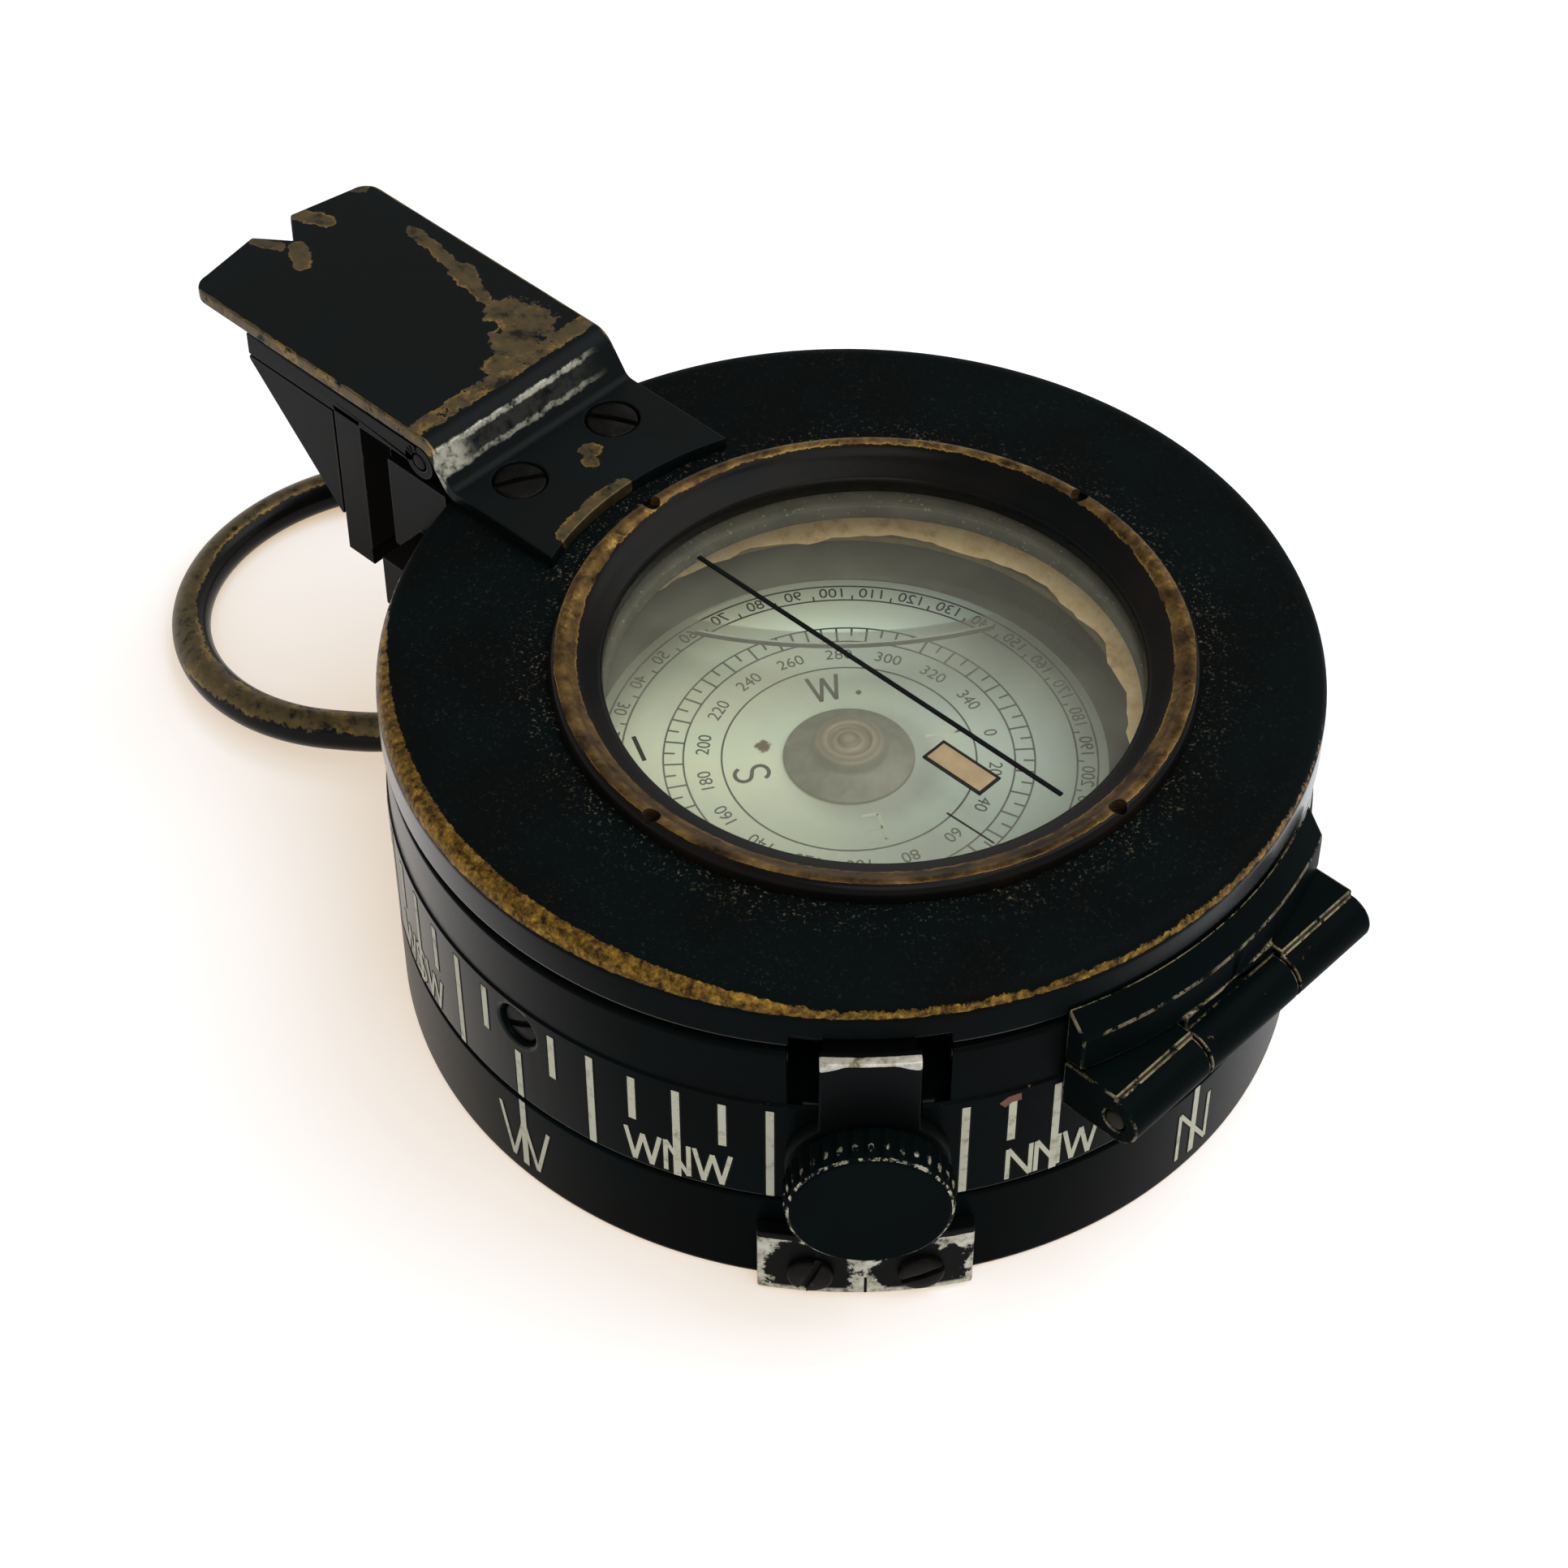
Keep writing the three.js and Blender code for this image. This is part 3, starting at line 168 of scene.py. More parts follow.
GLASS_DASH = ((-7.4, -12.2), (-5.4, -13.2))
GLASS_DASH_WIDTH = 0.28

# Lid
LID_RECESS = 0.8
LID_RECESS_RADIUS = 26
LID_EDGE = 1
CLAMP_RELIEF = 1
WINDOW_X = (window.x0 + window.x1) / 2
WINDOW_MIDDLE = (WINDOW_X, 0)
WINDOW_RADIUS = 17.1
BEAD_RADIUS = window.x1 - WINDOW_X
GLASS_SEAT_RADIUS = 18.7
BEAD_HOLE_RADIUS = 0.55
BEAD_HOLE_PITCH = BEAD_RADIUS - 0.7
BEAD_HOLE_DEPTH = 0.8
SKIRT_DEPTH = 0.45
SKIRT_WALL = 0.8

# Tongue
TONGUE_HALF = tongue.y1
TONGUE_THICKNESS = 1
TONGUE_RISE = 2.9
TONGUE_BEND = 27.6
TONGUE_ANGLE = math.radians(55)
TONGUE_RADIUS = 1.3
TONGUE_CORNER = 1.4
TONGUE_BOW = 0.9
NOTCH_HALF = 1.75
NOTCH_DEPTH = 2.3
TONGUE_WINDOW_GAP = 1.75
TONGUE_SCREW_X = -25.7
TONGUE_SCREW_Y = 4.25
TONGUE_PROUD = 0.05

# Bare places of the tongue: (x, y, size) patches, and scratches as a size and (x, y) points
TONGUE_PATCHES = ((-36.4, 4.7, 2.6), (-34.6, 5, 3.8), (-33.4, 2.8, 3.4), (-32.5, 0.6, 2.2), (-53.8, 7.2, 1.2))
FLANGE_PATCHES = ((-24.4, 1, 1.5), (-23.6, 0.2, 1.2))
TONGUE_SCRATCHES = (
    (1.05, ((-47.4, 6.5), (-43.6, 5.9), (-41, 5.5), (-38.4, 4.7))),
    (1.7, ((-41.6, 5.6), (-40.8, 5.4))),
    (1.3, ((-54.6, 2.1), (-52.6, 3))),
    (0.9, ((-54.4, -2), (-52.8, -1.1))),
    (1.3, ((-51.9, -0.3), (-50.2, -1.3))),
)
UPPER_RUB_HIGHLIGHT = -29.62
LOWER_RUB_HIGHLIGHT = -28.7

# Hinge of the lid
HINGE_X = 31.95
HINGE_Z = 16.4
HINGE_RADIUS = 1.7
HINGE_HALF = hinge.y1
HINGE_MIDDLE = 4.2
HINGE_PIN = 0.7
HINGE_BACK = 0.6
LEAF_THICKNESS = 1.25
LEAF_LOW = 18.8
LEAF_EDGE = 21.5
LEAF_TOP = 23.3
STRAP = 0.6

# Prism and its bracket
PRISM_X = -31.5
PRISM_Z = 27.6
BARREL = 1.3
PRISM_PIN = 0.6
PRISM_HALF = arm.y1
PRISM_MIDDLE = 4.1
ARM_BOTTOM = 27.1
RAIL_OUT = -40
RAIL_IN = -37.4
RAIL_WIDTH = 2.5
RAIL_FOOT = 1.4
RAIL_LOW = arm.z0
ARM_WINDOW = (-46.6, -41)
ARM_WINDOW_HALF = 6
ARM_SLOT = 1.8
GROOVE = (6.8, 7.6)
GROOVE_DEPTH = 1
HOUSING_IN = RAIL_OUT - RUN
HOUSING_TOE = -40.35
HOUSING_LIP = 0.3
HOUSING_CHEEK = 1.2
HOUSING_WALL = 1.1
BRACKET_TOP = 26
BRACKET_LOW = 18.4
BRACKET_CHEEK = 1.3
BRACKET_TOE = 2
BRACKET_PAD_X = -32
BRACKET_BASE_HALF = 11.4
BRACKET_BASE_TOP = 21.2
BRACKET_SCREW_LEVEL = 20.1
BRACKET_SCREW_Y = 3.5

# Thumb ring
WIRE = 1.4
LUG_X = -31.95
LUG_Z = 4.2
LUG_RADIUS = 2.2
LUG_HALF = lug.y1
RING_BOW = 14.6
RING_REACH = 26.7
RING_BOW_ANGLE = math.radians(122)
RING_PIN_START = 1.2
RING_PIN_END = 7.25
RING_CORNER = 2.4
RING_LEG = 3.4
RING_SIDE = -1.7
RING_TILT = -math.asin((LUG_Z - WIRE - CLEAR) / RING_REACH)

# Clamp of the direction ring
CLAMP_BEARING = -45
CLAMP_RADIUS = 31.2
NOTCH_WIDTH = 4.75
NOTCH_LEVEL = 17.4
CLAMP_LIP_HALF = 3
CLAMP_LIP_TOP = 22.7
CLAMP_FINGER_LOW = 21
CLAMP_FINGER_TOP = 22.2
CLAMP_FINGER_ROOM = 0.3
CLAMP_DISC = 5
CLAMP_FOOT_HALF = 6.7
CLAMP_FOOT = (0.4, 6)
FOOT_SCREW_SPREAD = 6.3
FOOT_SCREW_LEVEL = 2.5
INDEX_TOP = 2
INDEX_WIDTH = 0.18
KNOB_LEVEL = 12.4
KNOB_BACK = 31.5
KNOB_DEPTH = 2.55
KNOB_RADIUS = 5.2
KNOB_TEETH = 34
KNOB_TOOTH = 0.3
KNOB_SHANK = 1.5
KNOB_SHANK_END = SKIRT_RADIUS + 0.3
KNOB_SHANK_OVERLAP = 0.6
KNOB_HOLLOW = 0.06
KNOB_BORE_DEPTH = 6

# Rings of the knob from back to front: depth, share of a tooth's height and change of radius
KNOB_RINGS = (
    (0, 0.2, -0.25),
    (0.3, 1, 0),
    (1.7, 1, 0),
    (2, 0.3, -0.1),
    (2.3, 0, -0.12),
    (KNOB_DEPTH, 0, -0.45),
)

# Engraving of the case
DIVISIONS = 64
DIVISION = 360 / DIVISIONS
TICK_WIDTH = 0.5
LETTER_LINE = 0.3
LINE_SHADOW_WIDTH = 0.22
LONG_TICK = (8.25, 16.4)
SHORT_TICK = (12.35, 16.25)
POINT_LINE = (1.3, 12.6)
BAND_LETTERS = (8.5, 11.4)
BASE_LETTERS = (1.5, 6)
POINTS = "N NNE NE ENE E ESE SE SSE S SSW SW WSW W WNW NW NNW".split()
POINT_STEP = DIVISIONS // len(POINTS)
MAIN_POINT_STRETCH = 1.2
CLAMP_ROOM = 9
DAB_BEARING = -5 * DIVISION
DAB = ((-0.7, 15.9), (-0.2, 16.3), (0.5, 16.35))
DAB_WIDTH = 0.6

# Printing of the card
CARD_HEADING = 57
CARD_SCALE = (10.8, 12.1)
CARD_LINES = (16.2, 14.85, *CARD_SCALE[::-1], 8.3)
CARD_LINE = 0.12
CARD_LETTER_RADIUS = 6.5
CARD_LETTER = 2.3
CARD_LETTER_LINE = 0.26
CARD_TICK = 0.75
CARD_TICK_LINE = 0.14
OUTER_TICK = 0.45
CARD_DOT = (-3.6, 4.8)
CARD_NUMBER = 1.25
INNER_NUMBER_RADIUS = 9.5
OUTER_NUMBER_RADIUS = 15.5
PRINT_HEIGHT = 0.02

# Bubble in the liquid: where the bowl's round meets a wide arc
BUBBLE_BEARING = math.radians(135)
BUBBLE_ARC_OUT = 40.8
BUBBLE_ARC_CENTRE = (BUBBLE_ARC_OUT * math.cos(BUBBLE_BEARING), BUBBLE_ARC_OUT * math.sin(BUBBLE_BEARING))
BUBBLE_ARC = 32.9
BUBBLE_ROUND = 15.5
BUBBLE_ROUND_CENTRE = (1.7, -1.8)

# Photograph's camera
IMAGE_SIZE = 1932
FOCAL_PIXELS = 4487
SENSOR = 36
CAMERA_BACK = Vector((0.4757, -0.5013, 0.7227)).normalized()
CAMERA_DISTANCE = 238.6
CAMERA_SIDE = -4.24
CAMERA_RISE = -0.24
CAMERA_AIM = Vector((0, 0, 14))

# Lamps, which are aimed at the origin
Lamp = namedtuple("Lamp", "place size power color")
WINDOW_LIGHT = Lamp((170, 300, 620), 700, 3.7, (0.95, 0.98, 1.0))
SIDE_LIGHT = Lamp((340, -240, 560), 500, 1.9, (1.0, 0.97, 0.93))
TABLE_SIZE = 4
TABLE_FADE = (90, 260)


# Mesh tools


def rounded(corners, radius):
    """Outline with a small arc at each corner off the axis. A corner's third value is its own radius."""
    outline = []
    for i, corner in enumerate(corners):
        here = Vector(corner[:2])
        size = corner[2] if len(corner) > 2 else radius
        if size == 0 or here.x == 0:
            outline.append(here)
            continue
        before = Vector(corners[i - 1][:2]) - here
        after = Vector(corners[(i + 1) % len(corners)][:2]) - here
        start = here + before.normalized() * min(size, 0.45 * before.length)
        end = here + after.normalized() * min(size, 0.45 * after.length)
        for step in range(ARC_STEPS + 1):
            t = step / ARC_STEPS
            outline.append(start.lerp(here, t).lerp(here.lerp(end, t), t))
    return outline


def skin(bm, rings, closed):
    """Faces between rows of corners that each go round."""
    rows = [*rings, rings[0]] if closed else rings
    for low, high in zip(rows, rows[1:]):
        for k in range(len(low)):
            corners = dict.fromkeys((low[k - 1], low[k], high[k], high[k - 1]))
            if len(corners) > 2:
                bm.faces.new(corners)
    bmesh.ops.recalc_face_normals(bm, faces=bm.faces)
    return bm


def turned(corners, radius=0.15, segments=ROUND, middle=(0, 0)):
    """Turned piece from (radius, height) corners: a ring, or a solid where it starts and ends on the axis."""
    bm = bmesh.new()
    rings = []
    for point in rounded(corners, radius):
        if point.x == 0:
            rings.append([bm.verts.new((*middle, point.y))] * segments)
            continue
        ring = []
        for k in range(segments):
            angle = 2 * math.pi * k / segments
            x = middle[0] + point.x * math.cos(angle)
            y = middle[1] + point.x * math.sin(angle)
            ring.append(bm.verts.new((x, y, point.y)))
        rings.append(ring)
    return skin(bm, rings, closed=corners[0][0] != 0)


def disc(radius, low, high, edge=0.0, segments=ROUND, middle=(0, 0)):
    return turned([(0, low), (radius, low), (radius, high), (0, high)], edge, segments, middle)


def pane_disc(radius, low, high, middle=(0, 0)):
    """Top and edge of a round pane, so that only one face lies in the line of sight."""
    return turned([(0, high), (radius, high), (radius, low, 0)], 0.15, ROUND, middle)


def hoop(inner, outer, low, high, edge=0.0):
    """Turned ring with a rectangular section."""
    return turned([(inner, low), (outer, low), (outer, high), (inner, high)], edge)


def slab(x0, x1, y0, y1, z0, z1):
    bm = bmesh.new()
    bmesh.ops.create_cube(bm, size=1)
    middle = Vector((x0 + x1, y0 + y1, z0 + z1)) / 2
    sides = Matrix.Diagonal((x1 - x0, y1 - y0, z1 - z0, 1))
    bm.transform(Matrix.Translation(middle) @ sides)
    return bm


def block(x0, x1, half, z0, z1):
    """Slab that reaches as far on both sides of the middle."""
    return slab(x0, x1, -half, half, z0, z1)


def both_sides(low, high):
    """A span along Y and its mirror image."""
    return (low, high), (-high, -low)


def moved(bm, place):
    bm.transform(Matrix.Translation(place))
    return bm


def aligned(bm, start, direction):
    """Carries a piece made along +Z over to a start and a direction."""
    turn = Vector(direction).to_track_quat("Z", "Y").to_matrix().to_4x4()
    bm.transform(Matrix.Translation(start) @ turn)
    return bm


def rod(radius, start, end, edge=0.0, segments=FINE):
    line = Vector(end) - Vector(start)
    return aligned(disc(radius, 0, line.length, edge, segments), start, line)


def rod_y(radius, y0, y1, x, z, edge=0.0):
    return rod(radius, (x, y0, z), (x, y1, z), edge)


def pin_y(radius, half, x, z, edge=0.0):
    """Rod along Y that reaches as far on both sides of the middle."""
    return rod_y(radius, -half, half, x, z, edge)


def case_round(low, high):
    """Round of the case's side, to cut from what is fitted to it."""
    return disc(SIDE_RADIUS, low, high)


def outwards(bm, radius, height, bearing):
    """Carries a piece made along +Z to point out of the case at a bearing."""
    out = Vector((math.cos(math.radians(bearing)), math.sin(math.radians(bearing)), 0))
    return aligned(bm, out * radius + Vector((0, 0, height)), out)


def at_clamp(bm):
    """Carries a piece made at +X round to the clamp."""
    bm.transform(Matrix.Rotation(math.radians(CLAMP_BEARING), 4, "Z"))
    return bm


def carried(outline, low, high, place):
    """Solid with a flat outline, carried from one depth to another. place gives each corner's point."""
    bm = bmesh.new()
    ends = [[bm.verts.new(place(*point, depth)) for point in outline] for depth in (low, high)]
    for end in ends:
        bm.faces.new(end)
    return skin(bm, ends, closed=False)


def side_plate(outline, y0, y1):
    """Solid with an (x, z) outline, carried along Y."""
    return carried(outline, y0, y1, lambda x, z, y: (x, y, z))


def combine(operation, first, *tools):
    """Joins, cuts or intersects closed meshes."""
    workers = []
    for bm in (first, *tools):
        mesh = bpy.data.meshes.new("work")
        bm.to_mesh(mesh)
        bm.free()
        worker = bpy.data.objects.new("work", mesh)
        bpy.context.scene.collection.objects.link(worker)
        workers.append(worker)
    for tool in workers[1:]:
        step = workers[0].modifiers.new("work", "BOOLEAN")
        step.operation = operation
        step.solver = "EXACT"
        step.object = tool
    result = workers[0].evaluated_get(bpy.context.evaluated_depsgraph_get())
    made = bmesh.new()
    made.from_mesh(result.to_mesh())
    for worker in workers:
        mesh = worker.data
        bpy.data.objects.remove(worker)
        bpy.data.meshes.remove(mesh)
    return made


def join(first, *others):
    return combine("UNION", first, *others)


def cut(first, *tools):
    return combine("DIFFERENCE", first, *tools)


def common(first, second):
    return combine("INTERSECT", first, second)


def merged(*parts):
    """Separate meshes kept side by side in one piece."""
    made = bmesh.new()
    for part in parts:
        mesh = bpy.data.meshes.new("work")
        part.to_mesh(mesh)
        part.free()
        made.from_mesh(mesh)
        bpy.data.meshes.remove(mesh)
    return made


def soften(bm, width=0.14, angle=SHARP_ANGLE, flat=True):
    """Rounds sharp edges. The rounded faces take the piece's second finish."""
    bmesh.ops.remove_doubles(bm, verts=bm.verts, dist=WELD)
    if flat:
        flattest = math.radians(FLAT_ANGLE)
        bmesh.ops.dissolve_limit(bm, angle_limit=flattest, verts=bm.verts, edges=bm.edges)
    sharp = [edge for edge in bm.edges if edge.is_manifold and edge.calc_face_angle() > math.radians(angle)]
    bmesh.ops.bevel(
        bm,
        geom=sharp,
        offset=width,
        offset_type="OFFSET",
        segments=BEVEL_STEPS,
        profile=0.5,
        affect="EDGES",
        clamp_overlap=False,
        loop_slide=True,
        material=1,
    )
    return bm


def stroke(bm, points, width, place, low=-0.06, high=0.03, step=0.7, closed=False):
    """Adds a raised line of even width. place carries (across, up, height) to the surface."""
    line = [Vector(point) for point in points]
    ends = zip(line, line[1:] + line[:1]) if closed else zip(line, line[1:])
    path = []
    for start, end in ends:
        steps = max(1, math.ceil((end - start).length / step))
        path += [start.lerp(end, k / steps) for k in range(steps)]
    if not closed:
        path.append(line[-1])
    rows = []
    for k, here in enumerate(path):
        after = path[(k + 1) % len(path)] if closed or k + 1 < len(path) else here
        before = path[k - 1] if closed or k > 0 else here
        along = (after - before).normalized()
        across = Vector((-along.y, along.x)) * width / 2
        corners = [(here - across, low), (here + across, low), (here + across, high), (here - across, high)]
        rows.append([bm.verts.new(place(*point, height)) for point, height in corners])
    skin(bm, rows, closed)
    if not closed:
        bm.faces.new(reversed(rows[0]))
        bm.faces.new(rows[-1])


def arc(middle, radius, start, end, steps=10):
    angles = [math.radians(start + (end - start) * k / steps) for k in range(steps + 1)]
    return [(middle[0] + radius * math.cos(a), middle[1] + radius * math.sin(a)) for a in angles]


# Plain letters of the points, as strokes in a box that is one high
LETTER_STROKES = {
    "N": [[(0, 0), (0, 1)], [(0, 1), (0.52, 0)], [(0.52, 0), (0.52, 1)]],
    "E": [[(0, 0), (0, 1)], [(0, 1), (0.44, 1)], [(0, 0.52), (0.38, 0.52)], [(0, 0), (0.44, 0)]],
    "S": [arc((0.24, 0.75), 0.24, 20, 260) + arc((0.24, 0.25), 0.24, 80, -160)],
    "W": [[(0, 1), (0.2, 0)], [(0.2, 0), (0.4, 0.92)], [(0.4, 0.92), (0.6, 0)], [(0.6, 0), (0.8, 1)]],
}
LETTER_WIDTHS = {"N": 0.52, "E": 0.44, "S": 0.48, "W": 0.8}
LETTER_GAP = 0.13


def letter_strokes(word, height, stretch=1.0):
    """Strokes of a word that is centred across, with its foot at nought."""
    total = sum(LETTER_WIDTHS[letter] for letter in word) + LETTER_GAP * (len(word) - 1)
    start = -total / 2
    strokes = []
    for letter in word:
        for points in LETTER_STROKES[letter]:
            strokes.append([((start + x) * height * stretch, y * height) for x, y in points])
        start += LETTER_WIDTHS[letter] + LETTER_GAP
    return strokes


def printed(text, size, mirrored=False):
    """Flat printed text, centred on the origin."""
    curve = bpy.data.curves.new("work", "FONT")
    curve.body = text
    curve.size = size
    curve.extrude = PRINT_HEIGHT / 2
    curve.align_x = "CENTER"
    curve.align_y = "CENTER"
    worker = bpy.data.objects.new("work", curve)
    bpy.context.scene.collection.objects.link(worker)
    made = bmesh.new()
    made.from_mesh(worker.evaluated_get(bpy.context.evaluated_depsgraph_get()).to_mesh())
    bpy.data.objects.remove(worker)
    bpy.data.curves.remove(curve)
    if mirrored:
        made.transform(Matrix.Diagonal((-1, 1, 1, 1)))
        bmesh.ops.reverse_faces(made, faces=made.faces)
    return made


def screw(size, slot_turn):
    """Slotted screw that stands along +Z, with the top of its head at the origin."""
    corners = [
        (0, -size.length),
        (size.shank, -size.length),
        (size.shank, -size.thickness),
        (size.head, -size.thickness),
        (size.head, -0.12, 0.2),
        (0, 0),
    ]
    slot = block(-size.head - PAST, size.head + PAST, SLOT_HALF, -SLOT_DEPTH, PAST)
    slot.transform(Matrix.Rotation(math.radians(slot_turn), 4, "Z"))
    return soften(cut(turned(corners, 0.06, FINE), slot), 0.05, flat=False)


def piece(name, bm, finishes, body, *nodes, slot=None):
    """Makes a piece in metres that rides a body, and stands for the nodes named."""
    bmesh.ops.recalc_face_normals(bm, faces=bm.faces)
    bm.transform(Matrix.Scale(MM, 4))
    mesh = bpy.data.meshes.new(name)
    bm.to_mesh(mesh)
    bm.free()
    for finish in finishes:
        mesh.materials.append(finish)
    mesh.polygons.foreach_set("use_smooth", [True] * len(mesh.polygons))
    mesh.set_sharp_from_angle(angle=math.radians(SHARP_ANGLE))
    made = bpy.data.objects.new(name, mesh)
    bpy.context.scene.collection.objects.link(made)
    normals = made.modifiers.new("normals", "WEIGHTED_NORMAL")
    normals.keep_sharp = True
    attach(made, body)
    if nodes:
        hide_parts(*nodes)


def screws(name, node, body, size, slots, place):
    """Makes a pair of numbered screws. place carries each to its side, which is -1 or 1."""
    for i, side in enumerate(SIDES):
        made = place(screw(size, slots[i]), side)
        piece(f"{name}_{i + 1}", made, [screw_steel] * 2, body, f"{node}_{i + 1}", slot="steel")


# Finishes


class Signal:
    """A value that changes over a surface. Arithmetic on it adds Math nodes."""

    def __init__(self, finish, socket):
        self.finish = finish
        self.socket = socket

    def __add__(self, other):
        return self.finish.math("ADD", self, other)

    def __sub__(self, other):
        return self.finish.math("SUBTRACT", self, other)

    def __rsub__(self, other):
        return self.finish.math("SUBTRACT", other, self)

    def __mul__(self, other):
        return self.finish.math("MULTIPLY", self, other)

    def __truediv__(self, other):
        return self.finish.math("DIVIDE", self, other)

    def __pow__(self, other):
        return self.finish.math("POWER", self, other)

    __radd__ = __add__
    __rmul__ = __mul__

    def size(self):
        return self.finish.math("ABSOLUTE", self)

    def or_more(self, other):
        return self.finish.math("MAXIMUM", self, other)

    def or_less(self, other):
        return self.finish.math("MINIMUM", self, other)

    def rise(self, low, high):
        """Goes smoothly from 0 at low to 1 at high."""
        sockets = {"Value": self, "From Min": low, "From Max": high}
        return self.finish.node("ShaderNodeMapRange", {"interpolation_type": "SMOOTHSTEP"}, sockets)

    def fall(self, low, high):
        return 1 - self.rise(low, high)

    def between(self, low, full, fading, high):
        """Rises to 1 from low to full, and falls back to 0 from fading to high."""
        return self.rise(low, full) * self.fall(fading, high)


def highest(first, *others):
    for signal in others:
        first = first.or_more(signal)
    return first


class Finish:
    """Nodes of a new material, or of the world. Places are in millimetres in the compass's frame."""

    def __init__(self, owner):
        self.owner = bpy.data.materials.new(owner) if isinstance(owner, str) else owner
        self.owner.use_nodes = True
        self.tree = self.owner.node_tree
        self.tree.nodes.clear()
        metres = self.node("ShaderNodeTexCoord", output="Object")
        scaled = {0: metres, "Scale": 1 / MM}
        self.place = self.node("ShaderNodeVectorMath", {"operation": "SCALE"}, scaled)
        self.x, self.y, self.z = (
            self.node("ShaderNodeSeparateXYZ", sockets={0: self.place}, output=axis) for axis in "XYZ"
        )

    def node(self, kind, settings=None, sockets=None, output=0):
        """Adds a node, sets it up, feeds its sockets and gives one of its outputs."""
        made = self.tree.nodes.new(kind)
        for name, value in (settings or {}).items():
            if name == "stops":
                self.set_stops(made.color_ramp, value)
            else:
                setattr(made, name, value)
        for name, value in (sockets or {}).items():
            if isinstance(value, Signal):
                self.tree.links.new(value.socket, made.inputs[name])
            elif isinstance(value, tuple) and made.inputs[name].type == "RGBA":
                made.inputs[name].default_value = (*value, 1)
            else:
                made.inputs[name].default_value = value
        return Signal(self, made.outputs[output]) if made.outputs else None

    @staticmethod
    def set_stops(ramp, stops):
        while len(ramp.elements) < len(stops):
            ramp.elements.new(1)
        for element, (place, color) in zip(ramp.elements, stops):
            element.position = place
            element.color = (*color, 1)

    def math(self, operation, first, second=0.0):
        return self.node("ShaderNodeMath", {"operation": operation}, {0: first, 1: second})

    def mix(self, share, first, second):
        """Mix of two colours."""
        return self.node("ShaderNodeMix", {"data_type": "RGBA"}, {0: share, 6: first, 7: second}, output=2)

    def ramp(self, share, *stops):
        return self.node("ShaderNodeValToRGB", {"stops": stops}, {0: share})

    def grain(self, size, detail=4.0, roughness=0.55, seed=0.0):
        """Cloudy noise whose patches are about size millimetres across."""
        sockets = {
            "Vector": self.place,
            "W": seed,
            "Scale": 1 / size,
            "Detail": detail,
            "Roughness": roughness,
        }
        return self.node("ShaderNodeTexNoise", {"noise_dimensions": "4D"}, sockets)

    def specks(self, size, spread, seed=0.0):
        """Small round specks about size apart, each as wide as a share of that."""
        sockets = {"Vector": self.place, "W": seed, "Scale": 1 / size}
        settings = {"voronoi_dimensions": "4D"}
        near = self.node("ShaderNodeTexVoronoi", settings, sockets, output="Distance")
        return near.fall(0.7 * spread, spread)

    def radius(self, x=0.0, y=0.0):
        across = self.x - x
        along = self.y - y
        return (across * across + along * along) ** 0.5

    def along(self, bearing, x=0.0):
        """Distance towards a bearing."""
        turn = math.radians(bearing)
        return (self.x - x) * math.cos(turn) + self.y * math.sin(turn)

    def towards(self, bearing, x=0.0):
        """1 on the side of the case at a bearing, falling to 0 on the far side."""
        return 0.5 + 0.5 * self.along(bearing, x) / self.radius(x)

    def spots(self, *places):
        """Closeness to the nearest of some (x, y, size) places, 1 at the middle and 0 at the edge."""
        return highest(*[1 - self.radius(x, y) / size for x, y, size in places])

    def streak(self, size, *points):
        """Closeness to a line through some (x, y) points, 1 on it and 0 at size away."""
        closeness = []
        for start, end in zip(points, points[1:]):
            along = Vector(end) - Vector(start)
            unit = along / along.length_squared
            share = (self.x - start[0]) * unit.x + (self.y - start[1]) * unit.y
            share = share.or_more(0.0).or_less(1.0)
            across = self.x - start[0] - share * along.x
            away = self.y - start[1] - share * along.y
            closeness.append(1 - (across * across + away * away) ** 0.5 / size)
        return highest(*closeness)

    def lobe(self, kind, color, **constants):
        """Plain shader of one colour."""
        return self.node("ShaderNode" + kind, sockets={"Color": color, **constants})

    def blend(self, share, first, second):
        """Mix of two shaders."""
        return self.node("ShaderNodeMixShader", sockets={0: share, 1: first, 2: second})

    def surface(self, color, roughness, metallic=0.0, height=None, relief=0.02, **constants):
        """Principled surface. height is a share of the relief, in millimetres."""
        sockets = {"Base Color": color, "Roughness": roughness, "Metallic": metallic}
        sockets.update({name.replace("_", " "): value for name, value in constants.items()})
        if height is not None:
            bump = {"Height": height, "Distance": relief * MM}
            sockets["Normal"] = self.node("ShaderNodeBump", sockets=bump)
        return self.node("ShaderNodeBsdfPrincipled", sockets=sockets)

    def facing(self):
        """0 where a surface is seen square on, rising to 1 at a glance."""
        return self.node("ShaderNodeLayerWeight", sockets={"Blend": 0.5}, output="Facing")

    def done(self, shader, output="ShaderNodeOutputMaterial"):
        self.node(output, sockets={"Surface": shader})
        return self.owner


WHITE = (1.0, 1.0, 1.0)
BLACK = (0.002, 0.0024, 0.0024)
BROWN_BLACK = (0.0055, 0.0042, 0.003)
BLUE_BLACK = (0.0016, 0.0034, 0.0034)
DUST = (0.12, 0.105, 0.068)
GOLD = (0.3, 0.18, 0.04)
SILVER_HIGHLIGHT = (0.36, 0.35, 0.28)
PALE = (0.4, 0.38, 0.29)
RUBBED = (0.17, 0.14, 0.08)
DARK_BRASS = (0.05, 0.028, 0.009)
CLEAR_GLASS = (0.98, 0.99, 0.98)
LIQUID_SHADE = (0.42, 0.42, 0.42)
HAZE = (0.5, 0.48, 0.36)
TABLE = (0.5, 0.62, 0.78)
TABLE_GLOW = (0.56, 0.41, 0.24)
LID_METALS = ((0.022, 0.012, 0.004), (0.1, 0.056, 0.014), (0.25, 0.14, 0.022), (0.52, 0.32, 0.075))
